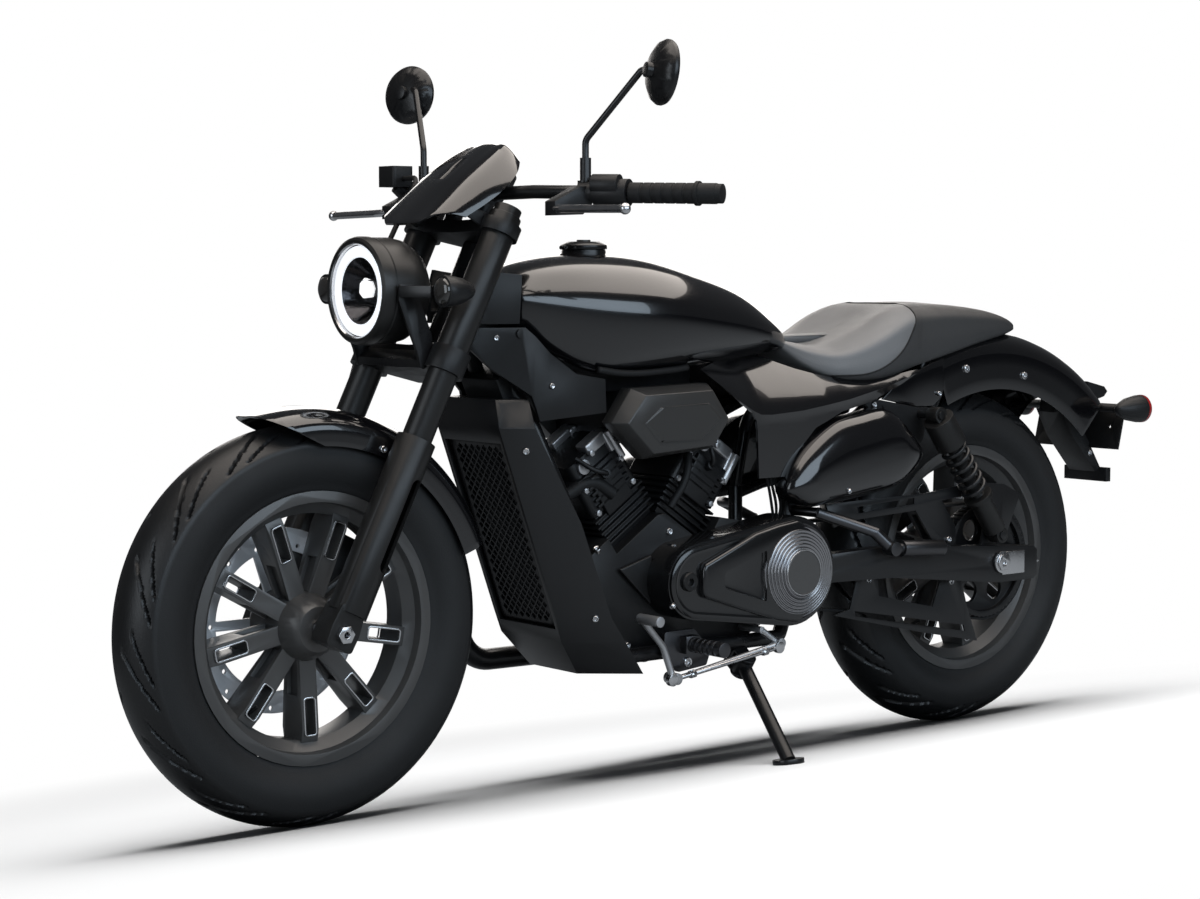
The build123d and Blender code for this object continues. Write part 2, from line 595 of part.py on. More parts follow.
def shock(side):
    """Damper body with its top can and lower sleeve, and an eye at each end."""
    body = rod(shock_axis(0.03), shock_axis(0.24), 29) + rod(shock_axis(0.2), shock_axis(0.72), 13)
    body += rod(shock_axis(0.66), shock_axis(0.95), 21) + rod(shock_axis(0.66), shock_axis(0.69), 28)
    for end in (SHOCK_TOP, SHOCK_LOW):
        body += Pos(*end) * (Rot(X=90) * Cylinder(15, 26))
        body -= Pos(*end) * (Rot(X=90) * Cylinder(SHOCK_PIN_R, 90))
    return body if side > 0 else mirrored(body)


def spring(side):
    """Coil spring between the shock's top can and its lower seat."""
    start, end = shock_axis(0.24), shock_axis(0.66)
    length, turns, wire = (end - start).length, 6, 4.5
    coil = Helix((length - 2 * wire - 1) / turns, length - 2 * wire - 1, 22.5)
    body = sweep(Plane(origin=coil @ 0, z_dir=coil % 0) * RegularPolygon(wire, 6), path=coil,
                 is_frenet=True)
    body = Plane(origin=start, z_dir=end - start) * (Pos(0, 0, wire + 0.5) * body)
    return body if side > 0 else mirrored(body)


# ---------------------------------------------------------------- engine
CRANK = (41.0, 0.0, 362.0)
BANK = 34.0
CASE_HALF = 84.0
DECK = 86.0                   # crank centre to the cylinders' feet


def crankcase():
    """Crankcase and gearbox as one ribbed block."""
    outline = [(214, 300), (196, 400), (120, 452), (20, 462), (-90, 446), (-226, 420), (-244, 360),
               (-232, 268),
               (-150, 228), (60, 214), (180, 232)]
    body = plate(outline, -CASE_HALF, CASE_HALF)
    for x in (150, 90, 30, -30):
        body += Pos(x, 0, 222) * Box(8, 150, 26)
    for sign in (1, -1):
        deck = Pos(0, 0, DECK + 100) * Box(126, 200, 200)
        body -= Pos(CRANK[0], 0, CRANK[2]) * (Rot(Y=sign * BANK) * deck)
    return body


def cylinder_bank(sign):
    """One finned cylinder with its head and rocker cover, in the crank's plane."""
    barrel = Pos(0, 0, (DECK + 156) / 2) * Box(104, 116, 156 - DECK)
    for i in range(5):
        barrel += Pos(0, 0, DECK + 12 + i * 12) * Box(122, 132, 4)
    head = fillet((Pos(0, 0, 190) * Box(116, 128, 72)).edges().filter_by(Axis.Z), 12)
    for i in range(4):
        head += Pos(0, 67, 168 + i * 12) * Box(84, 8, 5)
        head += Pos(0, -67, 168 + i * 12) * Box(84, 8, 5)
    cover = fillet((Pos(0, 0, 240) * Box(100, 112, 28)).edges().filter_by(Axis.Z), 16)
    return Pos(CRANK[0], 0, CRANK[2]) * (Rot(Y=sign * BANK) * (barrel + head + cover))


def cylinders():
    return cylinder_bank(1) + cylinder_bank(-1)


COVER_BACK, COVER_FACE = 151.5, 160.0     # pulley cover's skin, outside the swing arm


def drive_pulley():
    """Small belt pulley on the gearbox's output shaft."""
    wheel = Cylinder(DRIVE_R, BELT_W + 4) - PolarLocations(DRIVE_R + 0.5, 38) * Box(4, 4.6, BELT_W + 8)
    shaft = rod((DRIVE_X, CASE_HALF, DRIVE_Z), (DRIVE_X, PULLEY_Y + 16, DRIVE_Z), 16)
    return Pos(DRIVE_X, PULLEY_Y, DRIVE_Z) * (Rot(X=90) * wheel) + shaft


def pulley_cover():
    """Left cover: a long teardrop with raised ribs and a ringed round cap, hollow round the front pulley."""
    nose, tail, r_nose, r_tail = (18, 346), (DRIVE_X, DRIVE_Z - 4), 66, 98
    shape = make_hull((Pos(*nose) * Circle(r_nose) + Pos(*tail) * Circle(r_tail)).edges())
    body = extrude(side_plane(COVER_FACE) * shape, COVER_FACE - CASE_HALF)
    body = fillet(body.faces().sort_by(Axis.Y)[-1].edges(), 7)
    body -= plate([(-242, 600), (-500, 600), (-500, 100), (-242, 100)], 0, COVER_BACK)
    hollow = Pos(*tail) * Circle(DRIVE_R + 14) + Pos(tail[0] - 60, tail[1]) * Rectangle(120,
                                                                                        2 * DRIVE_R + 28)
    body -= extrude(side_plane(PULLEY_Y + BELT_W / 2 + 8) * hollow, PULLEY_Y + BELT_W / 2 + 8)
    rib = plate([(-10, 388), (-120, 428), (-124, 404), (-20, 366)], COVER_FACE - 1, COVER_FACE + 6)
    rib2 = plate([(-10, 308), (-120, 270), (-124, 294), (-20, 330)], COVER_FACE - 1, COVER_FACE + 6)
    body = body + rib + rib2
    for radius, height in ((80, 5), (72, 8), (64, 11), (56, 14), (46, 17)):
        body += Pos(tail[0], COVER_FACE, tail[1]) * (Rot(X=-90) * Cylinder(
            radius, height, align=(Align.CENTER, Align.CENTER, Align.MIN)))
    return body


def clutch_cover():
    """Right cover: a stepped round cover over the clutch and a smaller one ahead of it."""
    body = Pos(-80, -CASE_HALF, 340) * (Rot(X=90) * Cylinder(96, 40,
                                                             align=(Align.CENTER, Align.CENTER, Align.MIN)))
    body += Pos(-80, -CASE_HALF, 340) * (Rot(X=90) * Cylinder(74, 52,
        align=(Align.CENTER, Align.CENTER, Align.MIN)))
    body += Pos(78, -CASE_HALF, 346) * (Rot(X=90) * Cylinder(64, 34,
                                                             align=(Align.CENTER, Align.CENTER, Align.MIN)))
    return body


AIR_Y = 92.0


def air_cover(side):
    """Six-sided intake cover beside the cylinder heads."""
    outer = [(182, 622), (140, 680), (-28, 684), (-70, 622), (-44, 572), (110, 560)]
    body = plate(outer, AIR_Y, AIR_Y + 36, 12)
    step = plate([(150, 620), (118, 662), (-20, 668), (-56, 622), (-30, 588), (100, 580)], AIR_Y + 35,
                 AIR_Y + 50, 10)
    face = plate([(104, 618), (82, 645), (-14, 650), (-38, 621), (-16, 596), (76, 592)], AIR_Y + 49,
                 AIR_Y + 55, 6)
    body = body + step + face
    return body if side > 0 else mirrored(body)


def air_box():
    """Box between the heads that joins both intake covers."""
    return plate([(136, 588), (140, 650), (110, 676), (-24, 676), (-58, 650), (-54, 588)], -AIR_Y, AIR_Y)


RAD_LEVELS = [  # z, front x, front half width, rear x, rear half width
    (668, 386, 70, 338, 96), (622, 392, 88, 345, 124), (464, 334, 88, 263, 140),
    (300, 276, 88, 200, 142), (258, 262, 85, 172, 144), (198, 214, 66, 128, 138),
]


def radiator_shroud():
    """Tapered shroud that wraps the radiator and turns back into a chin under it, open behind."""
    def level(z, front, half_front, rear, half_rear, inset, reach):
        return Wire.make_polygon([
            (front - inset, half_front - inset, z), (rear - reach, half_rear - inset * 1.2, z),
            (rear - reach, -half_rear + inset * 1.2, z), (front - inset, -half_front + inset,
                                                          z)], close=True)
    wall = 5.0
    outer = Solid.make_loft([level(*row, 0, 0) for row in RAD_LEVELS], ruled=True)
    inner_rows = [list(row) for row in RAD_LEVELS]
    inner_rows[0][0] -= wall
    inner_rows[-1][0] += wall
    inner = Solid.make_loft([level(*row, wall, 60) for row in inner_rows], ruled=True)
    body = Part() + outer - inner
    window = Plane(origin=(327, 0, 438), x_dir=(0, 1, 0), z_dir=(0.943, 0, -0.333)) * Box(158, 336, 60)
    return body - window


def radiator():
    """Radiator core with its tanks, and the diamond mesh ahead of it."""
    place = Plane(origin=(318, 0, 441), x_dir=(0, 1, 0), z_dir=(0.943, 0, -0.333))
    sheet = Box(150, 334, 3)
    pitch, side = 17.0, 9.4
    cutter = extrude(Rot(Z=45) * Rectangle(side, side), 4, both=True)
    spots = []
    for row in range(-18, 19):
        shift = pitch / 2 if row % 2 else 0
        for col in range(-4, 5):
            if abs(col * pitch + shift) < 66:
                spots.append(Pos(col * pitch + shift, row * pitch / 2, 0) * cutter)
    core = Pos(0, 0, -22) * Box(176, 320, 26)
    tanks = Pos(0, 164, -22) * Box(180, 12, 32) + Pos(0, -164, -22) * Box(180, 12, 32)
    posts = Pos(70, 0, -6) * Box(6, 40, 12) + Pos(-70, 0, -6) * Box(6, 40, 12)
    return place * (sheet - spots + core + tanks + posts)


def exhaust():
    """Two header pipes into one slash-cut silencer along the right side."""
    front = pipe([(176, -50, 498), (182, -172, 498), (316, -172, 392), (282, -166, 196), (-40, -156, 194)],
                 19, [46, 70, 60])
    rear = pipe([(-72, -50, 520), (-76, -176, 520), (-104, -180, 290), (-90, -166, 206), (-40, -158, 196)],
                19, [44, 80, 30])
    can = rod((-50, -157, 195), (-120, -164, 204), 40) + rod((-108, -164, 204), (-600, -212, 292), 50)
    can -= rod((-540, -205, 282), (-640, -216, 300), 41)
    return front + rear + can


# ---------------------------------------------------------------- bodywork
TANK_ROWS = [  # x, top z, widest half, widest z, shoulder half, bottom z, bottom half
    (346, 866, 84, 826, 52, 786, 60), (290, 893, 108, 812, 64, 744, 84), (190, 909, 138, 794, 80, 704, 104),
    (40, 902, 150, 784, 86, 708, 104), (-120, 860, 128, 770, 74, 722, 92), (-258, 772, 74, 748, 44, 734,
                                                                            60),
]
CAP_X, CAP_Z, CAP_R = 147.0, 911.0, 40.0
FILLER_R = 20.0
CAP_BASE_Z = 914.0
CAP_PIN_R = 1.6
CAP_HINGE_X, CAP_HINGE_Z = CAP_X + CAP_R + 4, CAP_BASE_Z + 3


def tank():
    """Fuel tank: a teardrop lofted through six sections, with a tunnel for the backbone and a filler hole."""
    wires = []
    for x, top, wide, wide_z, shoulder, bottom, foot in TANK_ROWS:
        edge_z = wide_z + (top - wide_z) * 0.72
        corner = (x, shoulder * 1.16, edge_z)
        wires.append(Wire([
            Edge.make_line((x, -foot, bottom), (x, foot, bottom)),
            Edge.make_three_point_arc((x, foot, bottom), (x, wide, wide_z), corner),
            Edge.make_three_point_arc(corner, (x, 0, top), (corner[0], -corner[1], corner[2])),
            Edge.make_three_point_arc((corner[0], -corner[1], corner[2]), (x, -wide, wide_z),
                                      (x, -foot, bottom))]))
    body = Part() + Solid.make_loft(wires)
    tunnel = plate([(408, 850), (330, 838), (60, 790), (-235, 728), (-300, 714), (-300, 600), (408, 600)],
                   -SPINE_HALF - FIT, SPINE_HALF + FIT)
    body -= tunnel
    body -= rod((CAP_X, 0, CAP_Z + 40), (CAP_X, 0, CAP_Z - 50), FILLER_R)
    return body


def filler_ring():
    """Seat of the fuel cap, with the hinge lug ahead of it."""
    ring = Pos(CAP_X, 0, CAP_BASE_Z) * (Cylinder(CAP_R - 3, 12,
                                                 align=(Align.CENTER, Align.CENTER, Align.MAX))
                                         - Cylinder(FILLER_R + 6, 40))
    hinge = Pos(CAP_HINGE_X, 0, CAP_HINGE_Z)
    ears = both_sides(hinge * Pos(0, 10, -5) * Box(7, 4, 10) + hinge * (Rot(X=90) * Pos(0, 0,
        -10) * Cylinder(3.5, 4)))
    pin = hinge * (Rot(X=90) * Cylinder(CAP_PIN_R, 24))
    return ring + ears + pin


def fuel_cap():
    """Hinged fuel cap: a stepped disc with a lock boss."""
    base = Pos(CAP_X, 0, CAP_BASE_Z + FIT)
    body = base * Cylinder(CAP_R, 7, align=(Align.CENTER, Align.CENTER, Align.MIN))
    body += base * Pos(0, 0, 7) * Cone(CAP_R, CAP_R - 12, 6, align=(Align.CENTER, Align.CENTER, Align.MIN))
    body += base * Pos(0, 0, 13) * Cylinder(12, 3, align=(Align.CENTER, Align.CENTER, Align.MIN))
    hinge = Pos(CAP_HINGE_X, 0, CAP_HINGE_Z)
    body += hinge * (Rot(X=90) * Cylinder(3.5, 14) + Pos(-5, 0, 0) * Box(10, 14, 3.2))
    return body - hinge * (Rot(X=90) * Cylinder(CAP_PIN_R + RUN, 30))


def neck_cover(side):
    """Panel beside the headstock, ahead of the tank."""
    band = plan([(436, 52), (396, 74), (346, 90), (346, 84), (394, 68), (432, 47)], 700, 900)
    body = band & plate([(440, 792), (350, 792), (345, 872), (420, 880), (430, 860)], 0, 200)
    body += rod((425, 16, 808), (425, 60, 808), 8)
    return body if side > 0 else mirrored(body)


def frame_cover(side):
    """Panel below the tank's nose that hides the frame's neck."""
    band = plan([(440, 50), (396, 72), (330, 106), (188, 116), (188, 110), (328, 100), (392, 66),
                 (436, 45)],
                600, 800)
    body = band & plate([(438, 786), (345, 786), (300, 742), (250, 708), (192, 698), (190, 642), (322, 632),
                         (336, 674), (392, 716), (436, 762)], 0, 200)
    body += rod((352, 20, 776), (352, 96, 776), 8)
    return body if side > 0 else mirrored(body)


def side_cover(side):
    """Large sweeping panel from the tank to the tail, under the seat."""
    band = plan([(0, 128), (-150, 136), (-300, 138), (-560, 118), (-560, 112), (-300, 132), (-150, 130),
                 (0, 122)],
                500, 760)
    body = band & plate([(0, 706), (-110, 714), (-200, 700), (-250, 668), (-300, 660), (-400, 666),
                         (-500, 680),
                         (-540, 688), (-480, 658), (-400, 636), (-330, 616), (-270, 586), (-230,
                             556), (-200, 512),
                         (-142, 512), (-138, 608), (-124, 624)], 0, 200)
    body += rod((-300, SEAT_RAIL_Y, SEAT_RAIL_Z), (-300, 134, SEAT_RAIL_Z - 12), 7)
    body += rod((-287, STAY_Y, 590), (-262, 133, 600), 7)
    return body if side > 0 else mirrored(body)


def side_case(side):
    """Rounded side case behind the engine."""
    outline = [(-196, 500), (-212, 470), (-250, 456), (-380, 468), (-480, 484), (-540, 540), (-480, 604),
               (-440, 630), (-320, 606), (-230, 556)]
    inner = make_face(Polyline(*outline, close=True))
    outer = offset(inner, -20, kind=Kind.INTERSECTION)
    body = plate(outline, 112, 144)
    body += Solid.make_loft([(side_plane(144) * inner).face().outer_wire(),
                             (side_plane(166) * outer).face().outer_wire()], ruled=True)
    body += rod((-430, 92, 500), (-430, 114, 500), 9)
    return body if side > 0 else mirrored(body)


SEAT_ROWS = [  # x, top z, top half, edge z, edge half, bottom z, bottom half
    (-262, 764, 26, 752, 44, 736, 40), (-340, 742, 78, 716, 118, 676, 108), (-440, 776, 92, 738, 138, 674,
                                                                             122),
    (-540, 814, 88, 768, 132, 692, 116), (-700, 810, 80, 776, 112, 728, 100), (-850, 788, 56, 772, 78,
                                                                               752, 66),
    (-880, 770, 40, 764, 56, 756, 48),
]


def seat():
    """One-piece seat: a low rider's dish that steps up to a narrow pillion pad."""
    wires = []
    for x, top, top_half, edge, edge_half, bottom, bottom_half in SEAT_ROWS:
        wires.append(Wire.make_polygon([
            (x, -bottom_half, bottom), (x, bottom_half, bottom), (x, edge_half, edge), (x, top_half, top),
            (x, -top_half, top), (x, -edge_half, edge)], close=True))
    return Solid.make_loft(wires, ruled=True)


FENDER_C = (-787.0, 286.0)
FENDER_R, FENDER_WALL = 474.0, 4.0


def rear_fender():
    """Rear mudguard: a deep crowned channel over the tyre."""
    crown, skirt, half, wall = FENDER_R, 362.0, 96.0, FENDER_WALL

    def channel(inset):
        return make_face(Curve() + [
            Line((skirt, half - inset), (crown - 44, half - inset)),
            ThreePointArc((crown - 44, half - inset), (crown - inset, 0), (crown - 44, -half + inset)),
            Line((crown - 44, -half + inset), (skirt, -half + inset)),
            Line((skirt, -half + inset), (skirt, half - inset)),
        ])
    section = channel(0) - Pos(-0.01, 0) * channel(wall)
    return Pos(FENDER_C[0], 0, FENDER_C[1]) * (Rot(Y=-68) * revolve(section, Axis.Y, -66))


def tail_lamp():
    """Flat wedge lamp on the end of the mudguard."""
    return plate([(-1098, 652), (-1150, 640), (-1160, 630), (-1150, 620), (-1116, 612), (-1108, 628)],
                 -55, 55)


def plate_carrier():
    """Arm, crossbar for the signals, number plate board and its foot."""
    arm = plate([(-1046, 596), (-1096, 596), (-1108, 560), (-1168, 470), (-1150, 466), (-1080, 540)], -34,
                34)
    neck = plate([(-1040, 590), (-1054, 690), (-1116, 650), (-1096, 590)], -20, 20)
    arm += neck & (Pos(FENDER_C[0], 0, FENDER_C[1]) * (Rot(X=90) * Cylinder(FENDER_R - FENDER_WALL / 2,
                                                                            100)))
    bar = rod((-1112, -128, 600), (-1112, 128, 600), 9)
    tie = plate([(-1090, 606), (-1124, 606), (-1124, 594), (-1090, 586)], -30, 30)
    board = Plane(origin=(-1140, 0, 560), x_dir=(0, 1, 0), z_dir=(-0.97, 0, -0.24)) * Box(220, 90, 4)
    for side in (1, -1):
        board -= Plane(origin=(-1140, side * 80, 560), x_dir=(0, 1, 0),
                       z_dir=(-0.97, 0, -0.24)) * Cylinder(3, 20)
    foot = Pos(-1166, 0, 460) * Box(14, 110, 28)
    return arm + bar + tie + board + foot


# ---------------------------------------------------------------- controls, guards and stand
def upper_guard():
    """Slotted guard over the belt's upper run."""
    body = plate([(-310, 458), (-330, 414), (-376, 424), (-540, 432), (-604, 348), (-650, 348),
                  (-646, 398), (-610, 446),
                  (-690, 456), (-740, 346), (-776, 346), (-826, 446), (-780, 468), (-700, 476), (-560,
                                                                                                 462)],
                 *GUARD_Y)
    body -= plate([(-392, 436), (-388, 448), (-536, 456), (-536, 444)], 110, 130)
    for x, z in ((-627, 356), (-758, 350)):
        body += rod((x, GUARD_Y[0] + 1, z), (x, SWING_Y[0], z), 8)
    return body


def lower_guard():
    """Slotted guard under the belt's lower run."""
    body = plate([(-332, 254), (-372, 262), (-394, 334), (-440, 334), (-446, 280), (-588, 248), (-614, 312),
                  (-656, 312), (-668, 272), (-710, 172), (-560, 202)], *GUARD_Y)
    body -= plate([(-384, 258), (-386, 248), (-560, 214), (-676, 194), (-672, 206), (-560, 226)], 110, 130)
    for x, z in ((-417, 326), (-635, 306)):
        body += rod((x, GUARD_Y[0] + 1, z), (x, SWING_Y[0], z), 8)
    return body


def foot_peg(x, z, y_in, y_out, side, radius=13.0):
    """Ribbed rubber peg on its clevis."""
    body = rod((x, y_in, z), (x, y_out, z), radius)
    for i in range(5):
        y = y_in + 24 + i * 14
        body -= rod((x, y, z), (x, y + 4, z), radius + 2, radius - 2)
    body += Pos(x, y_in + 9, z) * Box(30, 18, 30)
    return body if side > 0 else mirrored(body)


BRACKET_Y = (118.0, 126.0)
PEG_X, PEG_Z = 22.0, 238.0


def peg_bracket(side):
    """Plate that carries the rider's peg and pedal, off the lower rail."""
    body = plate([(70, 262), (4, 262), (-34, 222), (-24, 196), (40, 190), (74, 222)], *BRACKET_Y, 6)
    body += rod((20, RAIL_Y + RAIL_R - 4, RAIL_Z), (20, BRACKET_Y[0] + 1, RAIL_Z), 10)
    return body if side > 0 else mirrored(body)


def shift_lever():
    """Toe lever and the bright linkage rod to the gearbox."""
    arm = pipe([(64, 140, 184), (86, 140, 240), (128, 140, 286)], 6, [30])
    toe = rod((132, 134, 292), (132, 188, 292), 9)
    link = rod((64, 148, 184), (-178, 146, 222), 4.5)
    ends = rod((64, BRACKET_Y[1] + FIT, 184), (64, 154, 184), 10) + rod((-178, 134, 222),
                                                                        (-178, 152, 222), 9)
    crank = rod((-178, 138, 222), (-140, 138, 248), 6) + rod((-140, CASE_HALF, 248), (-140, 142, 248), 6)
    return arm + toe + link + ends + crank


def brake_pedal():
    """Right-hand brake pedal."""
    arm = pipe([(56, -134, 220), (96, -134, 224), (152, -134, 262)], 6, [30])
    hub = rod((56, -BRACKET_Y[1] - FIT, 220), (56, -142, 220), 11)
    pad = Pos(156, -146, 268) * Box(36, 44, 8)
    return arm + pad + hub


STAND_PIVOT = (-118.0, 116.0, 186.0)
STAND_OUT, STAND_AHEAD = 184.0, 62.0
EYE_R, EYE_HALF, LUG_T, STAND_PIN_R = 17.0, 14.0, 6.0, 6.0
LEG_R = 12.0
FOOT_R, FOOT_T = 27.0, 8.0


def floor_z(y):
    """Height of the floor, on the upright machine, at that y once the machine leans on its stand."""
    lift = CROWN_R * (1 - cos(radians(LEAN)))
    return y * tan(radians(LEAN)) - lift / cos(radians(LEAN))


FOOT_Y = STAND_PIVOT[1] + STAND_OUT
STAND_FOOT = (STAND_PIVOT[0] + STAND_AHEAD, FOOT_Y, floor_z(FOOT_Y) + FOOT_T)


def stand_vectors():
    """Unit vectors: down the leg when it is out, along it when folded, and the hinge axis."""
    out = (Vector(*STAND_FOOT) - Vector(*STAND_PIVOT)).normalized()
    folded = Vector(-1.0, 0.09, -0.02).normalized()
    axis = out.cross(folded).normalized()
    return out, folded, axis


def pillion_peg(side):
    """Cast bracket from the frame's stay, and the passenger's peg folded back above the swing arm."""
    hinge = (-425, 174, 374)
    bracket = rod((-264, STAY_Y, 447), (-284, 132, 445), 9) + rod((-284, 126, 445), (-396, 166, 404), 10)
    bracket += rod((-392, 164, 406), hinge, 11) + rod((-425, 163, 374), (-425, 188, 374), 13)
    peg = rod(hinge, (-556, 174, 366), 10) + rod((-450, 174, 372.5), (-556, 174, 366), 15)
    return bracket + peg if side > 0 else mirrored(bracket + peg)


def stand_bracket():
    """Clevis under the left rail that the stand turns in."""
    axis = stand_vectors()[2]
    to_rail = Vector(STAND_PIVOT[0], RAIL_Y, RAIL_Z) - Vector(*STAND_PIVOT)
    across = to_rail - axis * to_rail.dot(axis)
    place = Plane(origin=STAND_PIVOT, x_dir=across, z_dir=axis)
    low, high = EYE_HALF + 0.5, EYE_HALF + 0.5 + LUG_T
    body = Cylinder(STAND_PIN_R, 2 * high)
    for side in (1, -1):
        middle = side * (low + high) / 2
        body += Pos(0, 0, middle) * Cylinder(EYE_R, LUG_T)
        body += Pos(across.length / 2, 0, middle) * Box(across.length, 26, LUG_T)
    body += Pos(EYE_R + 8, 0, 0) * Box(10, 26, 2 * high)
    return place * body


def side_stand():
    """Prop stand: eye, round leg and a flat foot that lies on the floor."""
    out, _, axis = stand_vectors()
    pivot, foot = Vector(*STAND_PIVOT), Vector(*STAND_FOOT)
    floor_up = Vector(0, -sin(radians(LEAN)), cos(radians(LEAN)))
    body = rod(pivot - axis * EYE_HALF, pivot + axis * EYE_HALF, EYE_R)
    body += rod(pivot + out * 8, foot + out * 6, LEG_R)
    body += rod(foot - floor_up * FOOT_T, foot, FOOT_R)
    body -= rod(pivot - axis * 40, pivot + axis * 40, STAND_PIN_R + RUN)
    return body - rod(foot - floor_up * (FOOT_T + 40), foot - floor_up * FOOT_T, 80)


def axle(centre, low, high, radius, nut, spacers):
    """Hollow wheel axle with a head, a nut and (from y, to y) spacers at the hub."""
    x, _, z = centre
    body = rod((x, low, z), (x, high, z), radius)
    for y in (high - NUT_T / 2, low + NUT_T / 2):
        body += Pos(x, y, z) * (Rot(X=90) * extrude(RegularPolygon(nut, 6), NUT_T / 2, both=True))
    for start, end in spacers:
        body += rod((x, start, z), (x, end, z), radius + 6)
    return body - rod((x, low - NUT_T, z), (x, high + NUT_T, z), AXLE_BORE_R)


# ---------------------------------------------------------------- the assembly
def placement(nodes):
    """Lean on the stand, tyres on the floor, origin under the middle of the leaned machine's box."""
    lean = Pos(0, 0, CROWN_R * (1 - cos(radians(LEAN)))) * Rot(X=-LEAN)
    boxes = [(lean * shape).bounding_box() for shape in nodes.values()]
    low = [min(getattr(box.min, axis) for box in boxes) for axis in "XYZ"]
    high = [max(getattr(box.max, axis) for box in boxes) for axis in "XYZ"]
    return Pos(-(low[0] + high[0]) / 2, -(low[1] + high[1]) / 2, -low[2]) * lean


def placed(nodes):
    where = placement(nodes)
    return {name: where * shape for name, shape in nodes.items()}


def pair(make):
    """The left and right pieces of one kind, as one node."""
    left = make(1)
    return left + mirrored(left)


SEATED = [  # the first piece is cut to sit against the others
    ("subframe", "frame", "seat", "rear_fender"), ("mirrors", "handlebar", "switchgear"), ("levers",
                                                                                           "switchgear"),
    ("headlight_bracket", "fork_clamps", "fork_tubes", "front_signals"),
    ("radiator_shroud", "frame"), ("neck_covers", "radiator_shroud", "frame"),
    ("rear_fender", "seat"),
    ("tail_lamp", "rear_fender"), ("plate_carrier", "rear_signals", "rear_fender"), ("front_caliper",
        "fork_legs", "fork_tubes"),
    ("stand_bracket", "frame"), ("air_covers", "cylinders"), ("fly_screen", "fork_clamps", "fork_tubes"),
    ("foot_pegs", "frame"), ("exhaust", "cylinders"), ("shocks", "subframe"),
    ("front_fender", "fork_legs"), ("switchgear", "handlebar"), ("side_covers", "subframe"),
    ("side_cases", "subframe"), ("pulley_cover", "frame"), ("radiator", "radiator_shroud"),
    ("plate_carrier", "tail_lamp"), ("rear_caliper", "swing_arm"), ("pillion_pegs", "subframe", "frame"),
    ("brake_hose", "front_caliper", "switchgear"),
]


def build():
    """Every node of the upright machine, each cut where it sits on a neighbour."""
    nodes = pieces()
    for name, *hosts in SEATED:
        for host in hosts:
            nodes[name] = nodes[name] - nodes[host]
    return nodes


def pieces():
    """Every node of the upright machine, by name."""
    return {
        "front_tyre": tyre(FRONT_TYRE_R, FRONT_TYRE_W, FRONT_RIM_W, FRONT_AXLE),
        "front_wheel": cast_wheel(FRONT_RIM_W, HUB_FACE, -FRONT_DISC_Y - DISC_T / 2, AXLE_R + RUN,
                                  FRONT_AXLE, 90),
        "front_brake_disc": brake_disc(DISC_R, 114, FRONT_DISC_Y, FRONT_AXLE),
        "rear_tyre": tyre(REAR_TYRE_R, REAR_TYRE_W, REAR_RIM_W, REAR_AXLE),
        "rear_wheel": cast_wheel(REAR_RIM_W, PULLEY_Y - PULLEY_BOSS, -REAR_DISC_Y - DISC_T / 2,
                                 AXLE_R + 1 + RUN, REAR_AXLE, 104),
        "rear_brake_disc": brake_disc(120, 88, REAR_DISC_Y, REAR_AXLE),
        "rear_pulley": rear_pulley(),
        "drive_belt": belt(),
        "fork_tubes": both_sides(fork_upper()),
        "fork_legs": both_sides(fork_lower()),
        "fork_clamps": fork_clamps(),
        "handlebar": handlebar(),
        "handlebar_clamp": handlebar_clamp() + (gauge() - handlebar_clamp()),
        "grips": pair(grip),
        "switchgear": pair(switchgear) + reservoir(),
        "levers": pair(lever),
        "mirrors": pair(mirror_unit),
        "headlight_shell": headlight_shell(),
        "headlight_lens": headlight_lens(),
        "headlight_bracket": headlight_bracket(),
        "front_signals": both_sides(signal(558, 495, 168, 848, 24.5)),
        "fly_screen": fly_screen(),
        "front_fender": front_fender(),
        "front_caliper": front_caliper(),
        "brake_hose": brake_hose(),
        "front_axle": axle(
            FRONT_AXLE, -FORK_Y - 22 - NUT_T, FORK_Y + 22 + NUT_T, AXLE_R, 15,
            [(HUB_FACE + FIT, FORK_Y - 24), (FRONT_DISC_Y + DISC_T / 2 - FIT, 24 - FORK_Y)]),
        "frame": frame_main(),
        "subframe": subframe(),
        "swing_arm": swing_arm(),
        "rear_caliper": rear_caliper(),
        "rear_axle": axle(
            REAR_AXLE, -SWING_Y[1] - NUT_T, SWING_Y[1] + NUT_T, AXLE_R + 1, 17,
            [(PULLEY_Y - PULLEY_BOSS + FIT, SWING_Y[0]), (REAR_DISC_Y + DISC_T / 2 - FIT, -SWING_Y[0])]),
        "shocks": pair(shock),
        "shock_springs": pair(spring),
        "crankcase": crankcase() + clutch_cover(),
        "drive_pulley": drive_pulley(),
        "cylinders": cylinders(),
        "pulley_cover": pulley_cover(),
        "air_covers": pair(air_cover) + air_box(),
        "radiator_shroud": radiator_shroud(),
        "radiator": radiator(),
        "exhaust": exhaust(),
        "fuel_tank": tank() - filler_ring() + filler_ring(),
        "fuel_cap": fuel_cap(),
        "neck_covers": pair(neck_cover) + pair(frame_cover),
        "side_covers": pair(side_cover),
        "side_cases": pair(side_case),
        "seat": seat(),
        "rear_fender": rear_fender(),
        "tail_lamp": tail_lamp(),
        "plate_carrier": plate_carrier(),
        "rear_signals": both_sides(signal(-1148, -1066, 152, 600, 27)),
        "belt_guards": upper_guard() + lower_guard(),
        "stand_bracket": stand_bracket(),
        "foot_pegs": pair(lambda side: foot_peg(PEG_X, PEG_Z, BRACKET_Y[1], 226, side)) + pair(peg_bracket),
        "foot_controls": shift_lever() + brake_pedal(),
        "pillion_pegs": pair(pillion_peg),
        "side_stand": side_stand(),
    }


def main():
    os.makedirs("parts", exist_ok=True)
    for name, shape in placed(build()).items():
        export_step(shape, f"parts/{name}.step")


if __name__ == "__main__":
    main()
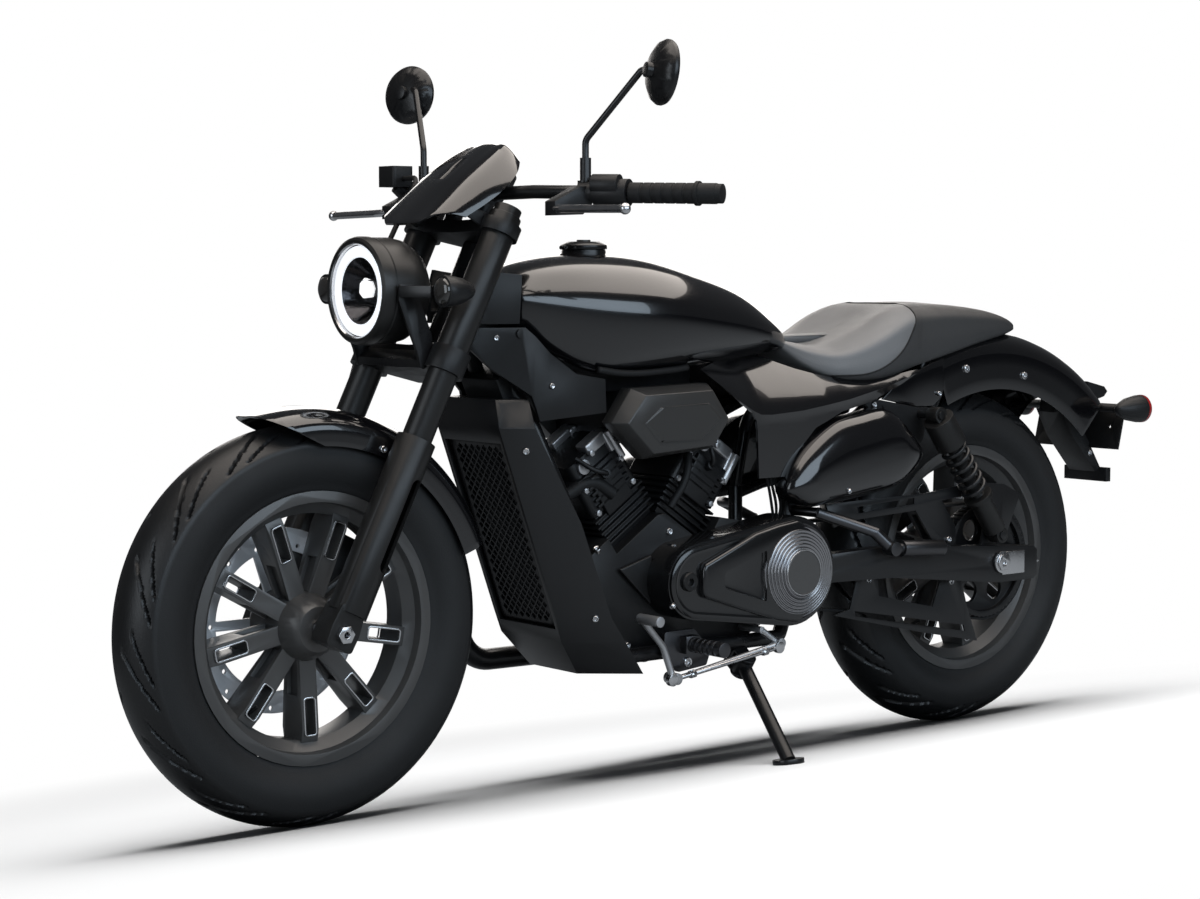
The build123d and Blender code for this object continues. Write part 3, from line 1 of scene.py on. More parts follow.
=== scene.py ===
"""Looks of a black V-twin cruiser motorcycle that leans on its side stand."""

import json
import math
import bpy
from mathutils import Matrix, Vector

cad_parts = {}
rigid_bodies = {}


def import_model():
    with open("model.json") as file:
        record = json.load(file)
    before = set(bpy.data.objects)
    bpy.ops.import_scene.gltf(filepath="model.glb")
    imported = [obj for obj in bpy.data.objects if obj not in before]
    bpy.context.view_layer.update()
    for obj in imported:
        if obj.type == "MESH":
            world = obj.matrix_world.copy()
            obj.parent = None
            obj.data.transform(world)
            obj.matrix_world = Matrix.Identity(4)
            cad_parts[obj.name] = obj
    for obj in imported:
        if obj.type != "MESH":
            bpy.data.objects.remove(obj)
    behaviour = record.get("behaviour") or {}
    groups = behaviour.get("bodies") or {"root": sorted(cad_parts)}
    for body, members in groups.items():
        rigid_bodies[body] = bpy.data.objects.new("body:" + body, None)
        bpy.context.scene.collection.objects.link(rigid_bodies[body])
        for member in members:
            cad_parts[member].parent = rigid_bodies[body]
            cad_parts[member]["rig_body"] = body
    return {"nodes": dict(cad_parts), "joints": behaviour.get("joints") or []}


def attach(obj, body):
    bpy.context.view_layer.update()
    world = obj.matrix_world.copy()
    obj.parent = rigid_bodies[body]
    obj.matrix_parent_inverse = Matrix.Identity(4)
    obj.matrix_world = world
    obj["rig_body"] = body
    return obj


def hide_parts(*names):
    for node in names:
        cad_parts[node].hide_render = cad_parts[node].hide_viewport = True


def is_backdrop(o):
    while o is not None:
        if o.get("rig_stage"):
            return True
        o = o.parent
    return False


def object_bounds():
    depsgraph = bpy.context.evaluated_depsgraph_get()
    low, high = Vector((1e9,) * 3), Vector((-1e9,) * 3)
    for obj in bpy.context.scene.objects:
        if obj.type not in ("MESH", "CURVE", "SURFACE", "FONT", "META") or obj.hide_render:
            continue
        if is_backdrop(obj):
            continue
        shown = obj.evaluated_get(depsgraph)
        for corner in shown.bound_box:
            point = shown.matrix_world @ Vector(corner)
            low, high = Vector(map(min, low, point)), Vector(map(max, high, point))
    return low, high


bl_info = {
    "name": "Cruiser Motorcycle",
    "version": (1, 0, 0),
    "blender": (4, 5, 0),
    "location": "3D View > Sidebar > Cruiser",
    "description": "Builds the finish, bodywork, seat, wheels and studio of a cruiser motorcycle",
    "category": "Object",
}

import bpy
from mathutils import Matrix, Vector

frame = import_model()

# ------------------------------------------------------------------ the machine's own frame
# Pieces are drawn on the upright machine (X forward, Y to the rider's left, Z up, ground at 0,
# metres) and MACHINE leans them on to the stand, as the frame's joints do.
AHEAD, LEFT, UP = Vector((1, 0, 0)), Vector((0, 1, 0)), Vector((0, 0, 1))
SIDES = ((1, "left"), (-1, "right"))
FRONT_AXLE = Vector((0.720, 0.0, 0.320))
REAR_AXLE = Vector((-0.744, 0.0, 0.323))
HUB = next(joint["pos_m"] for joint in frame["joints"] if joint["name"] == "front_wheel_spin")
LEAN = Matrix.Rotation(math.radians(-9.0), 4, "X")
MACHINE = Matrix.Translation(Vector(HUB) - LEAN @ FRONT_AXLE) @ LEAN


def seam_height(behind, ahead):
    """Height of the seat's seam, from how far a place is behind its back and ahead of its front."""
    square = behind * behind
    return square * 3.2 + square * square * 60.0 + ahead * ahead * 4.0 + 0.688


SEAM_BACK, SEAM_FRONT = -0.38, -0.33


# ------------------------------------------------------------------ shader expressions
class Socket:
    """An output of a shader node, with arithmetic that adds Math nodes."""

    def __init__(self, tree, output):
        self.tree = tree
        self.output = output

    def of(self, kind, settings=None, out=0, **inputs):
        """An output of a new node, its sockets given by name, or by number as i0, i1."""
        made = self.tree.nodes.new(kind)
        for key, value in (settings or {}).items():
            setattr(made, key, value)
        for key, value in inputs.items():
            numbered = key[0] == "i" and key[1:].isdigit()
            socket = made.inputs[int(key[1:]) if numbered else key.replace("_", " ")]
            if isinstance(value, Socket):
                self.tree.links.new(value.output, socket)
            else:
                socket.default_value = value
        return Socket(self.tree, made.outputs[out])

    def math(self, operation, *others):
        inputs = {f"i{i}": value for i, value in enumerate((self, *others))}
        return self.of("ShaderNodeMath", {"operation": operation}, **inputs)

    def __add__(self, other):
        return self.math("ADD", other)

    def __sub__(self, other):
        return self.math("SUBTRACT", other)

    def __mul__(self, other):
        return self.math("MULTIPLY", other)

    def step(self, low, high):
        """0 below low, 1 above high, smooth between."""
        return self.of("ShaderNodeMapRange", {"interpolation_type": "SMOOTHSTEP"},
                       Value=self, From_Min=low, From_Max=high)

    def mix(self, first, second):
        """First colour where this is 0, second where it is 1."""
        return self.of("ShaderNodeMix", {"data_type": "RGBA"}, out=2, Factor=self,
                       i6=(*first, 1.0), i7=(*second, 1.0))


class Finish:
    """A new material with one Principled shader, and the patterns that finishes share."""

    def __init__(self, name, colour, rough, metal=0.0, drift=None, grain=None, **more):
        """Drift is roughness low, high and scale; grain is noise scale, detail and bump depth."""
        self.material = bpy.data.materials.new(name)
        self.material.use_nodes = True
        self.material.diffuse_color = (*colour, 1.0)
        self.tree = self.material.node_tree
        self.shader = self.tree.nodes["Principled BSDF"]
        self.root = Socket(self.tree, None)
        self.set("Base Color", (*colour, 1.0)).set("Roughness", rough).set("Metallic", metal)
        for key, value in more.items():
            self.set(key.replace("_", " "), value)
        if drift:
            low, high, scale = drift
            spread = self.noise(scale, 4.0).step(0.3, 0.7)
            self.set("Roughness", spread * (high - low) + low)
        if grain:
            scale, detail, depth = grain
            self.bump(self.noise(scale, detail), depth)

    def set(self, name, value):
        if isinstance(value, Socket):
            self.tree.links.new(value.output, self.shader.inputs[name])
        else:
            self.shader.inputs[name].default_value = value
        return self

    def place(self):
        """Object coordinates turned back on to the upright machine."""
        here = self.root.of("ShaderNodeTexCoord", out="Object")
        back = MACHINE.inverted()
        return self.root.of("ShaderNodeMapping", {"vector_type": "POINT"}, Vector=here,
                            Location=back.translation, Rotation=back.to_euler())

    def about(self, centre):
        """Upright x and z, measured from a point."""
        moved = self.root.of("ShaderNodeVectorMath", {"operation": "SUBTRACT"},
                             i0=self.place(), i1=centre)
        return [self.root.of("ShaderNodeSeparateXYZ", out=i, Vector=moved) for i in (0, 2)]

    def noise(self, scale, detail):
        return self.root.of("ShaderNodeTexNoise", Vector=self.place(), Scale=scale, Detail=detail)

    def cells(self, scale):
        return self.root.of("ShaderNodeTexVoronoi", Vector=self.place(), Scale=scale)

    def bump(self, height, depth):
        return self.set("Normal", self.root.of("ShaderNodeBump", Height=height, Distance=depth,
                                               Strength=1.0))


def seat_vinyl(paint):
    """Dark grained vinyl with a lighter rider's panel, whose lighter colour is partly its own vinyl
    and partly painted sheen.
    """
    vinyl = Finish("seat_vinyl", paint.seat_dark, 0.5)
    x, z = vinyl.about((0, 0, 0))
    behind = (x * -1.0 + SEAM_BACK).math("MAXIMUM", 0.0)
    ahead = (x - SEAM_FRONT).math("MAXIMUM", 0.0)
    # Above the seam: partly the rider's panel's own lighter vinyl, partly painted sheen of the
    # light from above.
    panel = (z - seam_height(behind, ahead)).step(-0.0004, 0.0004)
    vinyl.set("Base Color", panel.mix(paint.seat_dark, paint.seat_light))
    vinyl.set("Roughness", vinyl.noise(30, 3).step(0.2, 0.8) * 0.12 + 0.37)
    return vinyl.bump(vinyl.cells(900) + vinyl.noise(260, 3) * 0.5, 0.00035)


def tyre_rubber(end, axle):
    """Dusty walls below a sleeker tread."""
    tyre = Finish(end + "_tyre_rubber", (0.0068, 0.0069, 0.0073), 0.5, grain=(420, 4, 0.00025))
    x, z = tyre.about(axle)
    tread = (x * x + z * z).math("SQRT").step(0.284, 0.290)
    return tyre.set("Roughness", tyre.noise(5.0, 4.0).step(0.3, 0.7) * 0.10 + tread * -0.26 + 0.62)


def finishes(paint):
    """Every finish of the machine, by name."""
    return {
        "gloss": Finish("gloss_black_paint", paint.gloss_colour, 0.16, drift=(0.12, 0.2, 3.0),
                        Coat_Weight=1.0, Coat_Roughness=0.02),
        "satin": Finish("satin_dark_grey", paint.satin_colour, 0.38, 0.2, (0.32, 0.42, 9.0),
                        (1500, 2, 0.00006)),
        "matte": Finish("moulded_black", (0.0070, 0.0072, 0.0078), 0.40, 0.0, (0.36, 0.5, 12.0),
                        (900, 2, 0.0001), Specular_IOR_Level=0.4),
        "cast": Finish("black_cast_metal", (0.0080, 0.0080, 0.0085), 0.34, 0.2, (0.34, 0.5, 14.0),
                       (700, 3, 0.0002)),
        "steel": Finish("black_enamel_steel", (0.0060, 0.0060, 0.0065), 0.28,
                        drift=(0.24, 0.38, 10.0)),
        "bright": Finish("bright_metal", (0.66, 0.66, 0.67), 0.2, 1.0, (0.14, 0.28, 40.0)),
        "alloy": Finish("blasted_alloy", (0.55, 0.55, 0.56), 0.36, 0.9, grain=(1200, 3, 0.0001)),
        "rubber": Finish("black_rubber", (0.0070, 0.0070, 0.0073), 0.6, grain=(600, 3, 0.0002),
                         Specular_IOR_Level=0.35),
        "red": Finish("red_lens", (0.42, 0.012, 0.012), 0.12, Coat_Weight=1.0),
        "disc": Finish("ground_steel", (0.80, 0.81, 0.83), 0.34, 0.3),
        "front_tyre": tyre_rubber("front", FRONT_AXLE),
        "rear_tyre": tyre_rubber("rear", REAR_AXLE),
        "ring_light": Finish("ring_light", (0.9, 0.92, 0.95), 0.3,
                             Emission_Color=(0.93, 0.96, 1.0, 1), Emission_Strength=0.75),
        "led": Finish("lit_projector", (0.95, 0.95, 0.97), 0.2,
                      Emission_Color=(1, 1, 1, 1), Emission_Strength=0.8),
        "reflector": Finish("dark_reflector", (0.05, 0.05, 0.055), 0.16, 0.9),
        "glass": Finish("clear_glass", (1, 1, 1), 0.02, Transmission_Weight=1.0, IOR=1.01),
        "vinyl": seat_vinyl(paint),
        "satin_black": Finish("satin_black_plastic", (0.0105, 0.0105, 0.0110), 0.32),
        "intake": Finish("intake_plastic", (0.036, 0.0345, 0.033), 0.32),
        "gunmetal": Finish("gunmetal", (0.10, 0.10, 0.105), 0.34, 1.0),
        "mirror": Finish("mirror_glass", (0.85, 0.87, 0.88), 0.02, 1.0),
        "smoked": Finish("smoked_lens", (0.03, 0.028, 0.026), 0.08, Coat_Weight=1.0),
        "machined": Finish("machined_rings", (0.34, 0.34, 0.35), 0.24, 1.0),
        "polished": Finish("polished_black_case", (0.0055, 0.0057, 0.0062), 0.20,
                           Coat_Weight=0.6, Coat_Roughness=0.06),
        "wheel": Finish("cast_wheel_grey", (0.095, 0.093, 0.091), 0.34, 0.4),
        "core": Finish("radiator_core", (0.016, 0.016, 0.017), 0.4, 0.4),
    }


# ------------------------------------------------------------------ modelling tools
def activate(obj):
    """Makes an object the only one selected."""
    for other in bpy.context.selected_objects:
        other.select_set(False)
    obj.select_set(True)
    bpy.context.view_layer.objects.active = obj
    return obj


class Editing:
    """Edit mode on one object for a with-block, everything selected."""

    def __init__(self, obj, kind="FACE"):
        self.obj = obj
        self.kind = kind

    def __enter__(self):
        activate(self.obj)
        bpy.ops.object.mode_set(mode="EDIT")
        kinds = tuple(self.kind == kind for kind in ("VERT", "EDGE", "FACE"))
        bpy.context.tool_settings.mesh_select_mode = kinds
        bpy.ops.mesh.select_all(action="SELECT")

    def __exit__(self, *error):
        bpy.ops.object.mode_set(mode="OBJECT")


def linked(name, data):
    """A new object of some data, in the scene."""
    obj = bpy.data.objects.new(name, data)
    bpy.context.scene.collection.objects.link(obj)
    return obj


def outline(name, points, closed=True):
    """A wire mesh through points, for the edit-mode tools to spin, extrude or bridge."""
    mesh = bpy.data.meshes.new(name)
    last = len(points) - 1
    edges = [(i, i + 1) for i in range(last)] + [(last, 0)] * closed
    mesh.from_pydata([tuple(point) for point in points], edges, [])
    return linked(name, mesh)


def apply(obj, kind, **settings):
    """Adds a modifier with settings and applies it."""
    activate(obj)
    modifier = obj.modifiers.new(kind.title(), kind)
    for key, value in settings.items():
        setattr(modifier, key, value)
    bpy.ops.object.modifier_apply(modifier=modifier.name)
    return obj


def bevel(obj, width, segments=2, angle=35.0):
    return apply(obj, "BEVEL", width=width, segments=segments, limit_method="ANGLE",
                 angle_limit=math.radians(angle), use_clamp_overlap=True, harden_normals=False)


def tidy(obj):
    """Merges doubles and turns the faces outwards."""
    with Editing(obj):
        bpy.ops.mesh.remove_doubles(threshold=0.00002)
        bpy.ops.mesh.normals_make_consistent(inside=False)
    return obj


def turning(start, end):
    """The shortest turn from one direction to another."""
    return Vector(start).rotation_difference(Vector(end)).to_matrix().to_4x4()


def lathe(name, profile, centre, axis=LEFT, steps=64, closed=True):
    """Spins (radius, along) points round an axis through centre."""
    obj = outline(name, [(radius, along, 0.0) for radius, along in profile], closed)
    with Editing(obj, "VERT"):
        bpy.ops.mesh.spin(steps=steps, angle=2 * math.pi, center=(0, 0, 0), axis=LEFT)
    tidy(obj).data.transform(Matrix.Translation(centre) @ turning(LEFT, axis))
    return obj


def slab(name, points, low, high, edge=0.0, segments=2):
    """A flat outline of (x, z) points made thick from low to high in Y, its edges rounded."""
    obj = outline(name, [(x, low, z) for x, z in points])
    with Editing(obj, "EDGE"):
        bpy.ops.mesh.edge_face_add()
        bpy.ops.mesh.extrude_region_move(TRANSFORM_OT_translate={"value": (0, high - low, 0)})
    tidy(obj)
    return bevel(obj, edge, segments, 25) if edge else obj


def joined(objects, name):
    activate(objects[0])
    for obj in objects[1:]:
        obj.select_set(True)
    bpy.ops.object.join()
    objects[0].name = name
    return objects[0]


def bridged(name, rings, closed=True, caps=False):
    """Skin over rows of points in order; caps fill its ends."""
    obj = joined([outline(name, ring, closed) for ring in rings], name)
    with Editing(obj, "EDGE"):
        bpy.ops.mesh.bridge_edge_loops(type="SINGLE")
        if caps:
            bpy.ops.mesh.select_all(action="SELECT")
            bpy.ops.mesh.region_to_loop()
            bpy.ops.mesh.fill()
    return tidy(obj)


def stacked(name, layers):
    """Skin over (y, outline) layers of (x, z) points, closed at both ends."""
    obj = bridged(name, [[(x, y, z) for x, z in points] for y, points in layers])
    for level in (layers[0][0], layers[-1][0]):
        for vertex in obj.data.vertices:
            vertex.select = abs(vertex.co.y - level) < 1e-5
        for edge in obj.data.edges:
            edge.select = all(obj.data.vertices[i].select for i in edge.vertices)
        for face in obj.data.polygons:
            face.select = False
        activate(obj)
        bpy.context.tool_settings.mesh_select_mode = (False, True, False)
        bpy.ops.object.mode_set(mode="EDIT")
        bpy.ops.mesh.edge_face_add()
        bpy.ops.object.mode_set(mode="OBJECT")
        tidy(obj)
    return obj


def tube(name, points, radius, steps=12, resolution=10):
    """Round tube that bends smoothly through points."""
    curve = bpy.data.curves.new(name, "CURVE")
    curve.dimensions = "3D"
    curve.bevel_depth = radius
    curve.bevel_resolution = steps // 4
    curve.resolution_u = resolution
    curve.use_fill_caps = True
    spline = curve.splines.new("BEZIER")
    spline.bezier_points.add(len(points) - 1)
    for knot, point in zip(spline.bezier_points, points):
        knot.co = point
        knot.handle_left_type = knot.handle_right_type = "AUTO"
    activate(linked(name, curve))
    bpy.ops.object.convert(target="MESH")
    return tidy(bpy.context.view_layer.objects.active)


def carve(obj, cutter):
    """Cuts one solid with another and drops the cutter."""
    apply(obj, "BOOLEAN", operation="DIFFERENCE", object=cutter, solver="EXACT")
    bpy.data.objects.remove(cutter)
    return obj


def primitive(name, matrix):
    """Names the solid that an operator has just added, and places its mesh."""
    obj = bpy.context.view_layer.objects.active
    obj.name = name
    obj.data.transform(matrix)
    return obj


def rod(name, start, end, radius, steps=32, rounded=0.0008):
    """Round bar between two points, its rims softened."""
    start, end = Vector(start), Vector(end)
    length = (end - start).length
    bpy.ops.mesh.primitive_cylinder_add(vertices=steps, radius=radius, depth=length)
    place = Matrix.Translation((start + end) / 2) @ turning(UP, end - start)
    return bevel(primitive(name, place), rounded)


def block(name, centre, size, rounded, turn=Matrix.Identity(4)):
    """Box of a size with rounded edges."""
    bpy.ops.mesh.primitive_cube_add(size=1)
    obj = bevel(primitive(name, Matrix.Diagonal((*size, 1))), rounded, 3)
    obj.data.transform(Matrix.Translation(centre) @ turn)
    return obj


def curved(a, b, c, d, t):
    """Catmull-Rom point at t between b and c."""
    return 0.5 * (2 * b + (c - a) * t + (2 * a - 5 * b + 4 * c - d) * t * t
                  + (3 * b - a - 3 * c + d) * t ** 3)


def blended(values, count):
    """Smooth samples through rows of numbers, count of them, evenly spaced in row number."""
    out = []
    last = len(values) - 1
    for i in range(count):
        at = i * last / (count - 1)
        k = min(int(at), last - 1)
        rows = [values[j] for j in (max(k - 1, 0), k, k + 1, min(k + 2, last))]
        out.append([curved(*four, at - k) for four in zip(*rows)])
    return out


def hull(name, rows, section, stations, around):
    """Skin over cross-sections along X: rows start with x, and section turns the rest of one into
    half an outline of (y, z) points, from bottom to top."""
    rings = []
    for row in blended(rows, stations):
        half = blended(section(*row[1:]), around)
        right = [(row[0], -y, z) for y, z in reversed(half) if abs(y) > 1e-5]
        rings.append([(row[0], y, z) for y, z in half] + right)
    return apply(bridged(name, rings, caps=True), "SUBSURF", levels=1, render_levels=1)


FINISH = {}


def fit(obj, body, finish, angle=0, replaces=(), placed=True):
    """Shades a piece smooth below an angle, leans it on to the stand and lets it ride."""
    if angle:
        activate(obj)
        bpy.ops.object.shade_smooth_by_angle(angle=math.radians(angle), keep_sharp_edges=False)
    if placed:
        obj.data.transform(MACHINE)
    obj.data.materials.clear()
    obj.data.materials.append(FINISH[finish].material)
    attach(obj, body)
    if replaces:
        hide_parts(*replaces)
    return obj


def mirrored(obj, name):
    """A copy on the other side of the machine, with its own mesh."""
    other = linked(name, obj.data.copy())
    other.data.transform(Matrix.Scale(-1, 4, LEFT))
    return tidy(other)


def fit_pair(left, finish, angle, replaces=()):
    """Fits a left-hand piece and its mirror image to the chassis."""
    right = mirrored(left, left.name.replace("left", "right"))
    fit(left, "chassis", finish, angle, replaces)
    fit(right, "chassis", finish, angle)


def dress(node, finish, width):
    """A CAD node's own shape with its doubles merged, flat faces joined and edges softened."""
    source = frame["nodes"][node]
    obj = linked(node + "_skin", source.data.copy())
    with Editing(obj):
        bpy.ops.mesh.remove_doubles(threshold=0.00001)
        bpy.ops.mesh.dissolve_limited(angle_limit=math.radians(3))
    bevel(obj, width, 2, 30)
    fit(obj, source["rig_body"], finish, 40, (node,), placed=False)


# ------------------------------------------------------------------ operators
class Sizes(bpy.types.PropertyGroup):
    """Sizes and colours that the looks are built from, in metres."""
    gloss_colour: bpy.props.FloatVectorProperty(
        name="Gloss paint", subtype="COLOR", default=(0.0035, 0.0035, 0.0042))
    satin_colour: bpy.props.FloatVectorProperty(
        name="Satin paint", subtype="COLOR", default=(0.0130, 0.0125, 0.0120))
    # Rider's panel colour: partly its own lighter vinyl, partly painted sheen.
    seat_light: bpy.props.FloatVectorProperty(
        name="Rider's vinyl with painted sheen", subtype="COLOR", default=(0.190, 0.190, 0.192))
    seat_dark: bpy.props.FloatVectorProperty(
        name="Seat vinyl", subtype="COLOR", default=(0.0500, 0.0495, 0.0495))
    edge_round: bpy.props.FloatProperty(name="Edge rounding", default=0.0012)
    groove_depth: bpy.props.FloatProperty(name="Tread groove depth", default=0.0060)
    lens_mm: bpy.props.FloatProperty(name="Camera lens", default=74.84)


def sizes():
    return bpy.context.scene.cruiser_sizes


class CRUISER_OT_stage(bpy.types.Operator):
    """Camera, floor, soft boxes and the pale surroundings"""
    bl_idname = "cruiser.stage"
    bl_label = "Stage"

    EYE = Vector((2.79188, 3.35737, 0.89883))
    YAW, PITCH, ROLL = math.radians(-128.604), math.radians(-4.383), math.radians(0.026)
    SENSOR, FAR = 36.0, 100
    FLOOR = 60
    FADE = (1.2, 2.0)     # radii between which the floor turns from lit to plain white
    WHITE = (1, 1, 1, 1)
    GROUND_LAMP = ((-0.2, 0.4, 3.4), (-0.2, 0.3, 0.0), (4.2, 2.6), 330, (1.0, 1.0, 1.0))
    LAMPS = {  # place and aim on the upright machine, size, power, colour
        "top_box": ((-0.5, 0.9, 3.4), (-0.5, 0.7, 0.6), (5.4, 3.6), 150, (1.0, 0.92, 0.85)),
        "left_box": ((0.5, 4.2, 1.5), (0, 0, 0.6), (6.0, 2.2), 115, (0.72, 0.86, 1.0)),
        "front_box": ((4.4, 0.3, 1.5), (0.3, 0, 0.6), (2.0, 2.6), 34, (0.86, 0.93, 1.0)),
        "back_box": ((-2.4, -3.6, 2.4), (0, 0, 0.6), (4.0, 2.0), 60, (1.0, 0.96, 0.92)),
    }

    def camera(self):
        flat = math.cos(self.PITCH)
        ahead = Vector((flat * math.cos(self.YAW), flat * math.sin(self.YAW), math.sin(self.PITCH)))
        right = ahead.cross(UP).normalized()
        turned = Matrix((right, right.cross(ahead), -ahead)).transposed().to_4x4()
        lens = bpy.data.cameras.new("camera")
        lens.lens = sizes().lens_mm
        lens.sensor_width = self.SENSOR
        lens.clip_end = self.FAR
        eye = linked("camera", lens)
        eye.matrix_world = (MACHINE @ Matrix.Translation(self.EYE) @ turned
                            @ Matrix.Rotation(-self.ROLL, 4, "Z"))
        bpy.context.scene.camera = eye

    def soft_box(self, name, place, aim, size, power, colour):
        lamp = bpy.data.lights.new(name, "AREA")
        lamp.shape = "RECTANGLE"
        lamp.size, lamp.size_y = size
        lamp.energy = power
        lamp.color = colour
        obj = linked(name, lamp)
        aimed = (Vector(aim) - Vector(place)).to_track_quat("-Z", "Y").to_matrix().to_4x4()
        obj.matrix_world = Matrix.Translation(place) @ aimed
        return obj

    def floor(self):
        bpy.ops.mesh.primitive_plane_add(size=self.FLOOR)
        floor = bpy.context.view_layer.objects.active
        floor.name = "floor"
        floor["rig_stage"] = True
        pale = Finish("pale_floor", (0.62, 0.62, 0.62), 0.6)
        root = pale.root
        seen = root.of("ShaderNodeLightPath", out="Is Camera Ray")
        dim = root.of("ShaderNodeBsdfDiffuse", Color=(0.16, 0.17, 0.18, 1))
        white = root.of("ShaderNodeEmission", Color=self.WHITE, Strength=1.0)
        away = root.of("ShaderNodeVectorMath", {"operation": "LENGTH"}, out="Value",
                       i0=root.of("ShaderNodeTexCoord", out="Object"))
        lit = Socket(pale.tree, pale.shader.outputs[0])
        faded = root.of("ShaderNodeMixShader", i0=away.step(*self.FADE), i1=lit, i2=white)
        mixed = root.of("ShaderNodeMixShader", i0=seen, i1=dim, i2=faded)
        pale.tree.links.new(mixed.output, pale.tree.nodes["Material Output"].inputs[0])
        floor.data.materials.append(pale.material)
        return floor

    def surroundings(self):
        world = bpy.data.worlds.new("studio")
        bpy.context.scene.world = world
        world.use_nodes = True
        tree = world.node_tree
        root = Socket(tree, None)
        base = tree.nodes["Background"]
        base.inputs["Color"].default_value = (0.80, 0.84, 0.90, 1)
        base.inputs["Strength"].default_value = 0.07
        seen = root.of("ShaderNodeLightPath", out="Is Camera Ray")
        white = root.of("ShaderNodeBackground", Color=self.WHITE, Strength=1.0)
        mixed = root.of("ShaderNodeMixShader", i0=seen, i1=Socket(tree, base.outputs[0]), i2=white)
        tree.links.new(mixed.output, tree.nodes["World Output"].inputs[0])

    def execute(self, context):
        self.camera()
        ground = self.soft_box("ground_box", *self.GROUND_LAMP)
        fills = [self.soft_box(name, *row) for name, row in self.LAMPS.items()]
        floor = self.floor()
        for lamps, state in (([ground], "INCLUDE"), (fills, "EXCLUDE")):
            lit = bpy.data.collections.new("floor_" + state.lower())
            lit.objects.link(floor)
            lit.collection_objects[0].light_linking.link_state = state
            for lamp in lamps:
                lamp.light_linking.receiver_collection = lit
        self.surroundings()
        context.scene.view_settings.view_transform = "Standard"
        return {"FINISHED"}


class CRUISER_OT_finishes(bpy.types.Operator):
    """Paints, plastics, metals and rubber"""
    bl_idname = "cruiser.finishes"
    bl_label = "Finishes"

    def execute(self, context):
        FINISH.update(finishes(sizes()))
        return {"FINISHED"}


class CRUISER_OT_hardware(bpy.types.Operator):
    """Machined, cast and moulded pieces in the construction's own shape, with softened edges"""
    bl_idname = "cruiser.hardware"
    bl_label = "Hardware"

    SHROUD_EDGE = 0.004
    PLAIN = {  # finish: the CAD pieces that wear it
        "disc": ("front_brake_disc", "rear_brake_disc"),
        "rubber": ("drive_belt", "grips", "brake_hose"),
        "satin": ("fork_tubes", "fork_legs", "shocks"),
        "satin_black": ("swing_arm", "shock_springs", "radiator_shroud", "belt_guards"),
        "cast": ("fork_clamps", "handlebar_clamp", "front_caliper", "rear_caliper", "crankcase",
                 "cylinders"),
        "steel": ("rear_pulley", "handlebar", "mirrors", "headlight_bracket", "frame", "subframe",
                  "drive_pulley", "exhaust", "fuel_cap", "stand_bracket", "side_stand"),
        "matte": ("switchgear", "front_signals", "neck_covers", "tail_lamp", "plate_carrier",
                  "rear_signals"),
        "bright": ("levers", "front_axle", "rear_axle"),
        "core": ("radiator",),
        "gunmetal": ("foot_pegs", "pillion_pegs"),
        "alloy": ("foot_controls",),
        "wheel": ("front_wheel", "rear_wheel"),
    }

    def execute(self, context):
        for finish, nodes in self.PLAIN.items():
            for node in nodes:
                dress(node, finish, self.SHROUD_EDGE if node == "radiator_shroud"
                      else sizes().edge_round)
        return {"FINISHED"}


